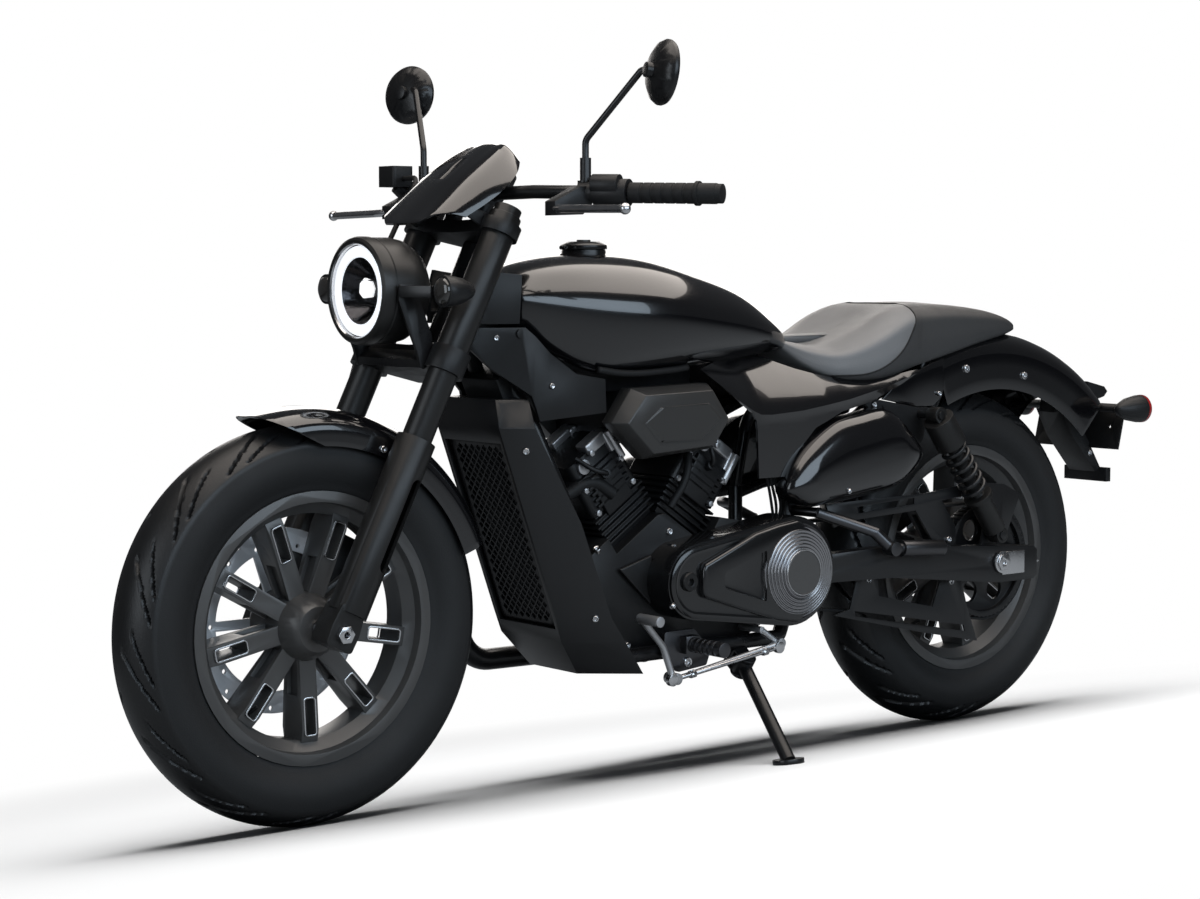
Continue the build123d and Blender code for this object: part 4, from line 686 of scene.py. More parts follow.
# ------------------------------------------------------------------ wheels and tyres
class CRUISER_OT_tyres(bpy.types.Operator):
    """Tyres with sweeping rain grooves cut into the tread"""
    bl_idname = "cruiser.tyres"
    bl_label = "Tyres"

    AROUND = 540          # sections round the tyre
    ACROSS = 104          # points over the tread and walls
    PITCHES = 14          # repeats of the groove pattern
    BEAD, CROWN = 0.2176, 0.076
    SHOULDER = 0.6        # share of the half-section that is tread
    GROOVED = 0.58        # share of it that has grooves
    TREAD = 0.05          # depth below the crown that a groove may reach
    HALF_GROOVE = 0.038   # in pitches
    SWEEP, CURL = 0.8, 1.4
    GROOVES = ((0.0, 0.07, 0.56, 1.0), (0.5, 0.26, 0.57, 1.25))  # start, inner end, outer end, lean
    TYRES = (("front", FRONT_AXLE, 0.320, 0.130), ("rear", REAR_AXLE, 0.323, 0.150))

    def section(self, outer, width):
        """Gives radius and side at a place, from -1 at the right bead to 1 at the left one."""
        shoulder = min(width / 2 - 0.006, self.CROWN - 0.008)
        middle = outer - self.CROWN
        shoulder_r = middle + math.sqrt(self.CROWN ** 2 - shoulder ** 2)
        reach = math.asin(shoulder / self.CROWN)

        def at(place):
            side, far = math.copysign(1, place), abs(place)
            if far < self.SHOULDER:
                turn = reach * far / self.SHOULDER
                return middle + self.CROWN * math.cos(turn), side * self.CROWN * math.sin(turn)
            t = (far - self.SHOULDER) / (1 - self.SHOULDER)
            swell = 1 - math.sin(math.pi * min(t * 1.15, 1.0))
            bulge = width / 2 - (width / 2 - shoulder) * swell - 0.012 * t ** 3
            return shoulder_r + (self.BEAD - shoulder_r) * t, side * bulge
        return at

    def groove(self, place, turn):
        """Depth share of the tread: long curved grooves that sweep back from near the middle."""
        far = abs(place)
        phase = turn * self.PITCHES / (2 * math.pi) + (0.5 if place < 0 else 0.0)
        sweep = self.SWEEP * (far / self.GROOVED) ** self.CURL
        depth = 0.0
        for start, low, high, lean in self.GROOVES:
            if low < far < high:
                away = (phase + start + sweep * lean) % 1.0
                share = 1 - (min(away, 1 - away) / self.HALF_GROOVE) ** 4
                fade = min(1.0, (far - low) / 0.06, (high - far) / 0.03)
                depth = max(depth, fade * share)
        return depth

    def build(self, end, axle, outer, width):
        at = self.section(outer, width)
        ring = [-1 + 2 * i / (self.ACROSS - 1) for i in range(self.ACROSS)]
        profile = [at(place) for place in ring]
        obj = lathe(end + "_tread", profile, (0, 0, 0), LEFT, self.AROUND, False)
        reach = {round(side, 5): place for (_, side), place in zip(profile, ring)}
        for vertex in obj.data.vertices:
            place = reach.get(round(vertex.co.y, 5))
            radius = math.hypot(vertex.co.x, vertex.co.z)
            if place is None or abs(place) > self.GROOVED or radius < outer - self.TREAD:
                continue
            turn = math.atan2(vertex.co.z, vertex.co.x)
            depth = self.groove(place, turn) * sizes().groove_depth
            vertex.co.x *= 1 - depth / radius
            vertex.co.z *= 1 - depth / radius
            vertex.co.y *= 1 - depth / self.CROWN
        obj.data.transform(Matrix.Translation(axle))
        fit(obj, end + "_wheel", end + "_tyre", 50, (end + "_tyre",))

    def execute(self, context):
        for tyre in self.TYRES:
            self.build(*tyre)
        return {"FINISHED"}


# ------------------------------------------------------------------ lamp
class CRUISER_OT_headlight(bpy.types.Operator):
    """Round headlight: deep bowl, stepped bezel, ring light, dark reflector and its projector"""
    bl_idname = "cruiser.headlight"
    bl_label = "Headlight"

    FACE = Vector((0.612, 0, 0.847))
    TURNED = (  # name, finish, smoothing, closed, replaced nodes, (radius, along) profile
        ("headlight_bowl", "satin", 28, False, ("headlight_shell",),
         ((0.0, -0.118), (0.03, -0.117), (0.055, -0.109), (0.072, -0.096), (0.082, -0.078),
          (0.0855, -0.06), (0.0855, -0.028), (0.084, -0.026), (0.084, -0.0235), (0.087, -0.0215),
          (0.087, -0.009), (0.085, -0.003), (0.081, 0.0), (0.077, -0.001), (0.0745, -0.004),
          (0.0735, -0.03), (0.071, -0.06), (0.05, -0.085), (0.0, -0.095))),
        ("headlight_bezel", "bright", 35, True, (),
         ((0.0735, -0.010), (0.0735, -0.004), (0.0755, -0.0015), (0.0765, -0.002),
          (0.0765, -0.010))),
        ("ring_light", "ring_light", 60, True, (),
         ((0.0535, -0.0115), (0.0545, -0.0085), (0.063, -0.0068), (0.0715, -0.0085),
          (0.0725, -0.0115))),
        ("reflector", "reflector", 40, True, ("headlight_lens",),
         ((0.0, -0.030), (0.016, -0.030), (0.024, -0.0365), (0.033, -0.0385), (0.044, -0.027),
          (0.0535, -0.0105), (0.0535, -0.0125), (0.043, -0.033), (0.03, -0.044), (0.0, -0.044))),
        ("headlight_glass", "glass", 60, False, (),
         ((0.0, -0.0015), (0.03, -0.0017), (0.06, -0.0028), (0.074, -0.0052), (0.074, -0.0066),
          (0.06, -0.0042), (0.03, -0.0031), (0.0, -0.0029))),
    )
    PROJECTOR = [(-0.020, 0.004), (-0.012, 0.017), (0.006, 0.021), (0.019, 0.012),
                 (0.021, -0.004), (0.010, -0.012), (-0.014, -0.010)]

    def execute(self, context):
        for name, finish, angle, closed, nodes, profile in self.TURNED:
            piece = lathe(name, profile, self.FACE, AHEAD, 96, closed)
            fit(piece, "steering", finish, angle, nodes)
        led = slab("projector", self.PROJECTOR, 0, 0.006, 0.0018, 3)
        led.data.transform(Matrix.Translation(self.FACE - 0.028 * AHEAD) @ turning(LEFT, AHEAD))
        fit(led, "steering", "led", 35)
        for z in (0.0165, -0.0235):
            centre = self.FACE + Vector((-0.024, 0, z))
            bar = block("reflector_rib", centre, (0.004, 0.038, 0.0022), 0.0008)
            fit(bar, "steering", "matte")
        return {"FINISHED"}


# ------------------------------------------------------------------ bodywork
class CRUISER_OT_tank(bpy.types.Operator):
    """Fuel tank: teardrop skin, filler neck and the pads under its edges"""
    bl_idname = "cruiser.tank"
    bl_label = "Tank"

    ROWS = [  # x, top z, widest half, widest z, shoulder half, bottom z, bottom half
        (0.3475, 0.848, 0.060, 0.824, 0.036, 0.796, 0.044),
        (0.344, 0.866, 0.082, 0.826, 0.038, 0.784, 0.060),
        (0.292, 0.893, 0.110, 0.812, 0.066, 0.744, 0.084),
        (0.190, 0.9085, 0.138, 0.794, 0.080, 0.706, 0.104),
        (0.040, 0.902, 0.150, 0.782, 0.086, 0.708, 0.104),
        (-0.120, 0.860, 0.128, 0.768, 0.074, 0.722, 0.092),
        (-0.215, 0.806, 0.098, 0.757, 0.058, 0.730, 0.074),
        (-0.254, 0.772, 0.074, 0.748, 0.044, 0.734, 0.060),
        (-0.2585, 0.764, 0.060, 0.746, 0.036, 0.740, 0.038),
    ]
    NECK = [(0.020, 0.885), (0.020, 0.914), (0.030, 0.9145), (0.037, 0.914), (0.038, 0.911),
            (0.038, 0.902), (0.028, 0.900)]
    PAD = [(0.205, 0.112, 0.714), (0.150, 0.116, 0.7065), (0.050, 0.115, 0.709),
           (0.010, 0.112, 0.7125)]

    def section(self, top, wide, wide_z, shoulder, bottom, foot):
        rise = top - wide_z
        return [(0.0, bottom), (foot * 0.55, bottom), (foot, bottom + 0.002),
                (wide - 0.28 * (wide - foot), wide_z - 0.55 * (wide_z - bottom)),
                (wide, wide_z), (wide * 0.985, wide_z + rise * 0.30),
                (wide * 0.86, wide_z + rise * 0.56), (shoulder * 1.12, wide_z + rise * 0.80),
                (shoulder * 0.55, wide_z + rise * 0.96), (0.0, top)]

    def execute(self, context):
        fit(hull("tank_skin", self.ROWS, self.section, 44, 19), "chassis", "gloss", 60)
        neck = lathe("filler_neck", self.NECK, (0.147, 0, 0), UP, 64, False)
        fit(neck, "chassis", "steel", 35, ("fuel_tank",))
        for side, _ in SIDES:
            pad = tube("tank_pad", [(x, side * y, z) for x, y, z in self.PAD], 0.006)
            fit(pad, "chassis", "rubber")
        return {"FINISHED"}


class CRUISER_OT_seat(bpy.types.Operator):
    """Seat: dished rider's part, raised lip and pillion pad, with piping along the seams"""
    bl_idname = "cruiser.seat"
    bl_label = "Seat"

    ROWS = [  # x, middle z, crown half, crown z, widest half, widest z, bottom half, bottom z
        (-0.264, 0.760, 0.022, 0.756, 0.040, 0.750, 0.036, 0.742),
        (-0.300, 0.752, 0.050, 0.745, 0.084, 0.722, 0.078, 0.702),
        (-0.350, 0.745, 0.074, 0.740, 0.120, 0.712, 0.108, 0.680),
        (-0.420, 0.760, 0.086, 0.766, 0.136, 0.728, 0.122, 0.676),
        (-0.480, 0.784, 0.092, 0.796, 0.140, 0.752, 0.120, 0.682),
        (-0.525, 0.809, 0.088, 0.811, 0.134, 0.766, 0.116, 0.692),
        (-0.560, 0.816, 0.084, 0.812, 0.126, 0.770, 0.112, 0.700),
        (-0.640, 0.816, 0.082, 0.811, 0.118, 0.774, 0.106, 0.716),
        (-0.740, 0.808, 0.074, 0.803, 0.106, 0.774, 0.094, 0.736),
        (-0.820, 0.797, 0.060, 0.791, 0.088, 0.770, 0.078, 0.748),
        (-0.866, 0.780, 0.046, 0.776, 0.064, 0.766, 0.056, 0.755),
        (-0.880, 0.767, 0.036, 0.765, 0.048, 0.762, 0.044, 0.757),
    ]
    LIFT = 0.0003         # the piping's middle over the vinyl

    def section(self, middle, crown, crown_z, wide, wide_z, foot, foot_z):
        return [(0.0, foot_z), (foot * 0.6, foot_z), (foot, foot_z + 0.002),
                (wide * 0.995, (wide_z + foot_z) / 2), (wide, wide_z),
                (wide * 0.9 + crown * 0.1, wide_z + (crown_z - wide_z) * 0.55), (crown, crown_z),
                (crown * 0.55, (crown_z + middle) / 2), (0.0, middle)]

    def border(self, x):
        """Height of the seam between the rider's panel and the dark rim."""
        return seam_height(max(0.0, SEAM_BACK - x), max(0.0, x - SEAM_FRONT))

    def piping(self, cushion, side):
        """Points of the seam on one side, from the nose back and over to the middle."""
        points = []
        for i in range(46):
            x = -0.282 - 0.006 * i
            start = (x, side * 0.3, self.border(x))
            hit, place, normal, _ = cushion.ray_cast(start, (0, -side, 0))
            if hit and place.y * side > 0.02:
                points.append(place + normal * self.LIFT)
        top = []
        for i in range(9):
            for k in range(60):
                x = -0.505 - 0.001 * k
                hit, place, normal, _ = cushion.ray_cast((x, side * 0.008 * i, 1.0), -UP)
                if hit and place.z < self.border(x):
                    top.append(place + normal * self.LIFT)
                    break
        return points + top[::-1]

    def execute(self, context):
        cushion = hull("seat_cushion", self.ROWS, self.section, 56, 21)
        context.view_layer.update()
        for side, tag in SIDES:
            seam = tube("seat_piping_" + tag, self.piping(cushion, side)[::2], 0.0016, 8, 4)
            fit(seam, "chassis", "rubber", 60)
        fit(cushion, "chassis", "vinyl", 70, ("seat",))
        return {"FINISHED"}


class CRUISER_OT_fenders(bpy.types.Operator):
    """Front and rear mudguards, crowned and rolled at their edges"""
    bl_idname = "cruiser.fenders"
    bl_label = "Fenders"

    SECTIONS = 48
    LIP = [(0.90, 0.660), (0.812, 0.655), (0.690, 0.596), (0.640, 0.560), (0.640, 0.500),
           (0.90, 0.500)]
    GUARDS = (  # name, body, node, centre, outer radius, foot radius, half, low, high, corner
        ("front_mudguard", "steering", "front_fender", FRONT_AXLE,
         0.347, 0.288, 0.0725, 70, 160, 0.034),
        ("rear_mudguard", "chassis", "rear_fender", Vector((-0.787, 0, 0.286)),
         0.474, 0.362, 0.096, 68, 134, 0.044),
    )

    def channel(self, name, centre, outer, foot, half, low, high, corner):
        """Crowned channel swept round a wheel from one angle to another."""
        wall = outer - corner - foot
        profile = [(foot + wall * k / 3, half) for k in range(3)]
        for i in range(8):
            turn = math.pi / 2 * i / 8
            drop = 1 - 0.30 * (1 - math.cos(turn))
            profile.append((outer - corner + corner * math.sin(turn),
                            half * drop * math.cos(turn) ** 0.45))
        ring = profile + [(outer, 0.0)] + [(r, -y) for r, y in reversed(profile)]
        rings = []
        for i in range(self.SECTIONS + 1):
            turn = math.radians(low + (high - low) * i / self.SECTIONS)
            rings.append([(centre.x + r * math.cos(turn), y, centre.z + r * math.sin(turn))
                          for r, y in ring])
        return bridged(name, rings, False)

    def execute(self, context):
        for name, body, node, *shape in self.GUARDS:
            guard = apply(self.channel(name, *shape), "SOLIDIFY", thickness=0.003, offset=-1.0)
            if name == "front_mudguard":
                carve(guard, slab("lip_cut", self.LIP, -0.2, 0.2))
            fit(bevel(guard, 0.001, 2, 50), body, "gloss", 40, (node,))
        return {"FINISHED"}


# ------------------------------------------------------------------ panels
def rounded_loop(points, count=80):
    """Smooth closed curve through points, evenly stepped in the points' order."""
    total = len(points)
    out = []
    for i in range(count):
        at = i * total / count
        k = int(at)
        out.append(curved(*(Vector(points[(k + j) % total]) for j in (-1, 0, 1, 2)), at - k))
    return out


def puffed(name, points, spine, low, edge, high, levels=12):
    """Pod on an (x, z) outline: straight from low to edge, then swelling to high over a spine."""
    loop = rounded_loop(points)
    start, end = Vector(spine[0]), Vector(spine[1])
    line = end - start
    layers = [(low, loop)]
    for i in range(levels + 1):
        turn = math.radians(84) * i / levels
        keep, rise = math.cos(turn) ** 0.8, math.sin(turn)
        ring = []
        for p in loop:
            along = (p - start).dot(line) / line.length_squared
            near = start + line * max(0.0, min(1.0, along))
            ring.append(near + (p - near) * keep)
        layers.append((edge + (high - edge) * rise, ring))
    return stacked(name, layers)


def along_line(points, x):
    """Height of a polyline of (x, z) points, x falling, at x."""
    for (xa, za), (xb, zb) in zip(points, points[1:]):
        if x >= xb:
            return za + (zb - za) * (x - xa) / (xb - xa)
    return points[-1][1]


def cut_panel(place, normal):
    """Cuts the panel in edit mode along a plane, so that it can be curved there."""
    bpy.ops.mesh.select_all(action="SELECT")
    bpy.ops.mesh.bisect(plane_co=place, plane_no=normal)


class CRUISER_OT_panels(bpy.types.Operator):
    """Side covers with their crease, tail infills, side cases and the plates over the shocks"""
    bl_idname = "cruiser.panels"
    bl_label = "Side panels"

    CASE = [(-0.197, 0.497), (-0.212, 0.472), (-0.250, 0.457), (-0.310, 0.461), (-0.380, 0.468),
            (-0.480, 0.486), (-0.537, 0.540), (-0.482, 0.603), (-0.440, 0.626), (-0.380, 0.620),
            (-0.310, 0.604), (-0.235, 0.556)]
    CASE_SPINE = ((-0.262, 0.508), (-0.470, 0.550))
    COVER = [(-0.010, 0.709), (-0.080, 0.722), (-0.140, 0.732), (-0.185, 0.730), (-0.222, 0.716),
             (-0.262, 0.702), (-0.300, 0.692), (-0.350, 0.683), (-0.420, 0.679), (-0.480, 0.684),
             (-0.530, 0.692), (-0.556, 0.694), (-0.500, 0.668), (-0.419, 0.639), (-0.340, 0.624),
             (-0.274, 0.598), (-0.235, 0.560), (-0.203, 0.514), (-0.143, 0.514), (-0.136, 0.600),
             (-0.132, 0.618), (-0.122, 0.630)]
    TOP = COVER[:11:2]
    CREASE = [(0.0, 0.706), (-0.122, 0.634), (-0.140, 0.6265), (-0.165, 0.6255),
              (-0.237, 0.6300), (-0.357, 0.6460), (-0.458, 0.6650), (-0.560, 0.692)]
    BAND = [(0.0, 0.129), (-0.150, 0.138), (-0.300, 0.140), (-0.560, 0.121)]
    GRID = 0.009
    INFILL = [(-0.470, 0.640), (-0.500, 0.662), (-0.556, 0.688), (-0.600, 0.704),
              (-0.632, 0.712), (-0.634, 0.660), (-0.628, 0.640), (-0.606, 0.624),
              (-0.565, 0.622)]
    PLATE = [(-0.412, 0.640), (-0.458, 0.640), (-0.560, 0.622), (-0.586, 0.622),
             (-0.572, 0.560), (-0.552, 0.543), (-0.530, 0.543)]
    WINDOW = [(-0.462, 0.630), (-0.490, 0.606), (-0.474, 0.590)]

    def bulge(self, x, z):
        """How far to the side the cover's skin is at (x, z)."""
        crease = along_line(self.CREASE, x)
        rise, fall = max(0.0, z - crease), max(0.0, crease - z)
        height = max(0.012, along_line(self.TOP, x) - crease)
        return (along_line(self.BAND, x) - 0.40 * rise - 0.31 * rise ** 2 / height
                - 0.30 * min(fall, 0.012) - 0.05 * fall)

    def cover(self, name):
        cover = slab(name, self.COVER, -0.005, 0.0)
        with Editing(cover):
            for (xa, za), (xb, zb) in zip(self.CREASE, self.CREASE[1:]):
                cut_panel((xa, 0, za), (za - zb, 0, xb - xa))
            for way, place, end in ((AHEAD, -0.56, 0.0), (UP, 0.50, 0.74)):
                while place + self.GRID < end:
                    place += self.GRID
                    cut_panel(place * way, way)
        for vertex in cover.data.vertices:
            vertex.co.y += self.bulge(vertex.co.x, vertex.co.z)
        return cover

    def execute(self, context):
        case = puffed("side_case_left", self.CASE, self.CASE_SPINE, 0.112, 0.132, 0.167)
        fit_pair(case, "gloss", 60, ("side_cases",))
        fit_pair(self.cover("side_cover_left"), "gloss", 22, ("side_covers",))
        fit_pair(slab("tail_infill_left", self.INFILL, 0.098, 0.103, 0.0016, 3), "gloss", 40)
        plate = slab("shock_plate_left", self.PLATE, 0.104, 0.110, 0.0015)
        fit_pair(carve(plate, slab("plate_window", self.WINDOW, 0.09, 0.12)), "matte", 40)
        return {"FINISHED"}


class CRUISER_OT_screen(bpy.types.Operator):
    """Fly screen with its slot and brackets, and the gauge behind it"""
    bl_idname = "cruiser.screen"
    bl_label = "Fly screen"

    ROWS = [  # cheek edge x, y, z, ridge x, y, z, middle x, z
        (0.462, 0.097, 0.965, 0.523, 0.045, 0.956, 0.526, 0.955),
        (0.426, 0.103, 0.987, 0.481, 0.046, 0.9935, 0.484, 0.9935),
        (0.391, 0.105, 1.011, 0.438, 0.044, 1.0305, 0.440, 1.0315),
        (0.358, 0.093, 1.036, 0.394, 0.040, 1.061, 0.396, 1.0625),
        (0.336, 0.072, 1.055, 0.356, 0.033, 1.083, 0.358, 1.0855),
        (0.328, 0.058, 1.060, 0.345, 0.028, 1.085, 0.346, 1.0875),
    ]
    BRACKET = [(0.398, 0.938), (0.420, 0.944), (0.462, 0.970), (0.452, 0.984), (0.404, 0.966)]
    GAUGE, GAUGE_WAY = Vector((0.338, 0, 1.036)), (-0.5, 0, 0.866)
    DIAL = [(0.0, -0.011), (0.036, -0.011), (0.038, -0.009), (0.038, 0.009), (0.0355, 0.011),
            (0.033, 0.0085), (0.0, 0.0085)]
    DIAL_GLASS = [(0.0, 0.0095), (0.033, 0.0095), (0.033, 0.0086), (0.0, 0.0086)]

    def half(self, ex, ey, ez, rx, ry, rz, mx, mz):
        """Left half of a section, from the cheek's edge to beside the middle."""
        points = [(ex, ey, ez)]
        for t in (0.2, 0.4, 0.6, 0.8):
            swell = 0.010 * math.sin(math.pi * t)
            points.append((ex + (rx - ex) * t + swell * 0.8, ey + (ry - ey) * t + swell * 0.5,
                           ez + (rz - ez) * t + swell))
        return points + [(rx, ry, rz), ((rx + mx) / 2, ry / 2, rz * 0.4 + mz * 0.6)]

    def execute(self, context):
        rings = []
        for row in blended(self.ROWS, 22):
            half = self.half(*row)
            rings.append(half + [(row[6], 0, row[7])] + [(x, -y, z) for x, y, z in reversed(half)])
        skin = bridged("fly_screen_skin", rings, False)
        apply(skin, "SOLIDIFY", thickness=0.0042, offset=-1.0)
        low, high = self.ROWS[0], self.ROWS[4]
        slope = Matrix.Rotation(math.atan2(high[7] - low[7], low[6] - high[6]), 4, "Y")
        carve(skin, block("slot", (0.420, 0, 1.047), (0.062, 0.016, 0.0075), 0.003, slope))
        fit(bevel(skin, 0.0012, 2, 40), "steering", "gloss", 24, ("fly_screen",))
        for side, tag in SIDES:
            low, high = sorted((side * 0.088, side * 0.094))
            bracket = slab("screen_bracket_" + tag, self.BRACKET, low, high, 0.0012)
            fit(bracket, "steering", "matte", 35)
        for name, profile, finish in (("gauge", self.DIAL, "steel"),
                                      ("gauge_glass", self.DIAL_GLASS, "smoked")):
            piece = lathe(name, profile, self.GAUGE, self.GAUGE_WAY, 64, False)
            fit(piece, "steering", finish, 30)
        foot = rod("gauge_foot", (0.346, 0, 1.034), (0.358, 0, 1.010), 0.008)
        fit(foot, "steering", "steel")
        return {"FINISHED"}


# ------------------------------------------------------------------ wheels, mirrors and lamps
class CRUISER_OT_wheel_trim(bpy.types.Operator):
    """Machined frames round the spokes' windows, and the valves of the cast wheels"""
    bl_idname = "cruiser.wheel_trim"
    bl_label = "Wheel trim"

    SPOKES = 9
    AT = Vector((0.1425, 0.0289, 0))    # a frame's middle from the axle, along its spoke
    SPREAD = math.atan2(0.0035, 0.051)  # a spoke's flanks lean apart
    VALVE = Vector((0.64, 0, -0.77))    # its direction from the axle

    def frame_bar(self):
        """Rounded rectangular frame in the XZ plane, round the origin."""
        rings = []
        for grow in (0.0, 0.0026):
            half, tall, corner = 0.0285 + grow, 0.009 + grow, 0.0035 + grow
            ring = []
            for cx, cz, start in ((1, 1, 0), (-1, 1, 90), (-1, -1, 180), (1, -1, 270)):
                for i in range(5):
                    turn = math.radians(start + 22.5 * i)
                    ring.append((cx * (half - corner) + corner * math.cos(turn), 0,
                                 cz * (tall - corner) + corner * math.sin(turn)))
            rings.append(ring)
        bar = apply(bridged("window_frame", rings), "SOLIDIFY", thickness=0.0022, offset=0.0)
        return bevel(bar, 0.0006, 2, 40)

    def execute(self, context):
        for name, axle, turn in (("front", FRONT_AXLE, 90), ("rear", REAR_AXLE, 104)):
            edges = []
            for i in range(self.SPOKES):
                around = math.radians(turn + 360 / self.SPOKES * i)
                spoke = Matrix.Translation(axle) @ Matrix.Rotation(around, 4, "Y")
                for side, _ in SIDES:
                    place = Matrix.Translation((self.AT.x, side * self.AT.y, self.AT.z))
                    lean = Matrix.Rotation(side * self.SPREAD, 4, "Z")
                    edges.append(self.frame_bar())
                    edges[-1].data.transform(spoke @ place @ lean)
            fit(joined(edges, name + "_window_frames"), name + "_wheel", "bright", 40)
            valve = rod(name + "_valve", axle + 0.176 * self.VALVE + 0.004 * LEFT,
                        axle + 0.150 * self.VALVE + 0.030 * LEFT, 0.0032, 12)
            fit(valve, name + "_wheel", "rubber")
        return {"FINISHED"}


class CRUISER_OT_lamps(bpy.types.Operator):
    """Lenses of the signals and tail lamp, and the mirrors' glass"""
    bl_idname = "cruiser.lamps"
    bl_label = "Lamps and mirrors"

    FRONT, REAR = (0.558, 0.168, 0.848), (-1.145, 0.152, 0.600)
    LENS = ((0.0, 0.0085), (0.5, 0.0078), (0.85, 0.0056), (1.0, 0.0020), (1.0, -0.004),
            (0.0, -0.004))   # share of the radius, along
    LENSES = (("front_signal_lens_", "steering", FRONT, AHEAD, 0.0212, "smoked"),
              ("rear_signal_lens_", "chassis", REAR, -AHEAD, 0.0275, "red"))
    RIM = [(0.0205, 0.0), (0.0225, 0.0016), (0.0248, 0.0008), (0.0252, -0.004), (0.0205, -0.004)]
    MIRROR = [(0.0, -0.0048), (0.046, -0.0048), (0.0475, -0.0042), (0.0475, -0.003),
              (0.0, -0.003)]

    def execute(self, context):
        for side, tag in SIDES:
            mirror = Matrix.Diagonal((1, side, 1))
            for name, body, place, axis, radius, finish in self.LENSES:
                profile = [(radius * share, along) for share, along in self.LENS]
                lens = lathe(name + tag, profile, mirror @ Vector(place), axis, 48, False)
                fit(lens, body, finish, 60)
            rim = lathe("signal_rim_" + tag, self.RIM, mirror @ Vector(self.FRONT), AHEAD, 48)
            fit(rim, "steering", "matte", 50)
            back = Vector((0.93, side * -0.30, 0.12))
            glass = lathe("mirror_glass_" + tag, self.MIRROR, (0.262, side * 0.352, 1.188), back,
                          64, False)
            fit(glass, "steering", "mirror", 30)
        lens = block("tail_lens", (-1.1555, 0, 0.6292), (0.006, 0.098, 0.013), 0.0025)
        fit(lens, "chassis", "red")
        return {"FINISHED"}


# ------------------------------------------------------------------ engine
class CRUISER_OT_left_cover(bpy.types.Operator):
    """Left engine cover: teardrop shell, V of ribs, ringed round cap and plug"""
    bl_idname = "cruiser.left_cover"
    bl_label = "Left cover"

    NOSE, TAIL = (0.018, 0.346, 0.066), (-0.205, 0.348, 0.098)    # x, z, radius
    CAP = Vector((-0.205, 0.158, 0.348))
    SHELL = [  # y, growth of the teardrop
        (0.084, 0.0), (0.144, 0.0), (0.150, -0.0012), (0.1545, -0.004), (0.157, -0.008),
        (0.158, -0.012), (0.157, -0.016), (0.1535, -0.019)]
    HOLLOW = [(0.0, -0.09), (0.082, -0.09), (0.082, -0.049), (0.0, -0.049)]
    REAR_CUT = [(-0.242, 0.60), (-0.50, 0.60), (-0.50, 0.10), (-0.242, 0.10)]
    RIBS = [(-0.205, 0.440), (-0.160, 0.434), (-0.105, 0.423), (0.012, 0.378), (0.016, 0.366),
            (0.016, 0.330), (0.012, 0.320), (-0.105, 0.282), (-0.160, 0.266), (-0.205, 0.258),
            (-0.262, 0.290), (-0.288, 0.348), (-0.262, 0.405)]
    RIB_GAP = [(-0.128, 0.392), (-0.034, 0.362), (-0.030, 0.356), (-0.030, 0.338),
               (-0.034, 0.332), (-0.128, 0.302)]
    RINGS = ((0.0815, 0.0085), (0.0755, 0.0105), (0.0695, 0.0125), (0.0635, 0.0145),
             (0.0575, 0.0165), (0.0515, 0.0185), (0.0455, 0.0200))   # radius, height
    DISC = [(0.0, 0.0212), (0.0375, 0.0212), (0.039, 0.0202), (0.039, 0.018), (0.0, 0.018)]
    EDGE = [(0.0390, 0.0215), (0.0400, 0.0215), (0.0404, 0.0208), (0.0404, 0.019),
            (0.0390, 0.019)]
    PLUG = [(0.006, 0.0005), (0.0065, 0.0035), (0.010, 0.0045), (0.015, 0.0040),
            (0.0165, 0.0015), (0.0165, -0.006), (0.006, -0.006)]
    WEB = [(0.143, 0.372), (0.072, 0.392), (0.074, 0.306)]

    def teardrop(self, grow, steps=28):
        """Outline round two circles, shrunk or grown."""
        (xa, za, ra), (xb, zb, rb) = self.NOSE, self.TAIL
        tilt = math.asin((rb - ra) / math.hypot(xa - xb, za - zb))
        quarter = math.pi / 2
        out = []
        for x, z, r, low, high in ((xa, za, ra, tilt - quarter, quarter - tilt),
                                   (xb, zb, rb, quarter - tilt, 3 * quarter + tilt)):
            for i in range(steps + 1):
                turn = low + (high - low) * i / steps
                out.append((x + (r + grow) * math.cos(turn), z + (r + grow) * math.sin(turn)))
        return out

    def rings(self):
        """Profile of the cap: one small step for each ring."""
        profile = [(0.0815, -0.002)]
        for r, top in self.RINGS:
            profile += [(r, top - 0.0026), (r - 0.0008, top - 0.0006), (r - 0.0022, top),
                        (r - 0.0045, top - 0.0008)]
        return profile + [(0.0, 0.0190)]

    def execute(self, context):
        shell = stacked("left_cover_shell", [(y, self.teardrop(grow)) for y, grow in self.SHELL])
        carve(shell, lathe("cover_hollow", self.HOLLOW, self.CAP, LEFT, 48, False))
        carve(shell, slab("cover_rear_cut", self.REAR_CUT, 0.0, 0.1515))
        fit(shell, "chassis", "polished", 40, ("pulley_cover",))
        ribs = slab("left_cover_ribs", self.RIBS, 0.150, 0.1665, 0.006, 4)
        carve(ribs, slab("rib_gap", self.RIB_GAP, 0.1585, 0.18, 0.004, 3))
        fit(ribs, "chassis", "polished", 35)
        for name, profile, steps, closed, finish, angle in (
                ("left_cap_rings", self.rings(), 120, False, "machined", 28),
                ("left_cap_disc", self.DISC, 96, False, "wheel", 30),
                ("left_cap_edge", self.EDGE, 96, True, "bright", 30)):
            fit(lathe(name, profile, self.CAP, LEFT, steps, closed), "chassis", finish, angle)
        plug = lathe("left_cover_plug", self.PLUG, (0.040, 0.156, 0.349), LEFT, 32)
        fit(plug, "chassis", "cast", 30)
        fit(slab("front_case_web", self.WEB, 0.086, 0.094, 0.003, 3), "chassis", "cast", 35)
        return {"FINISHED"}


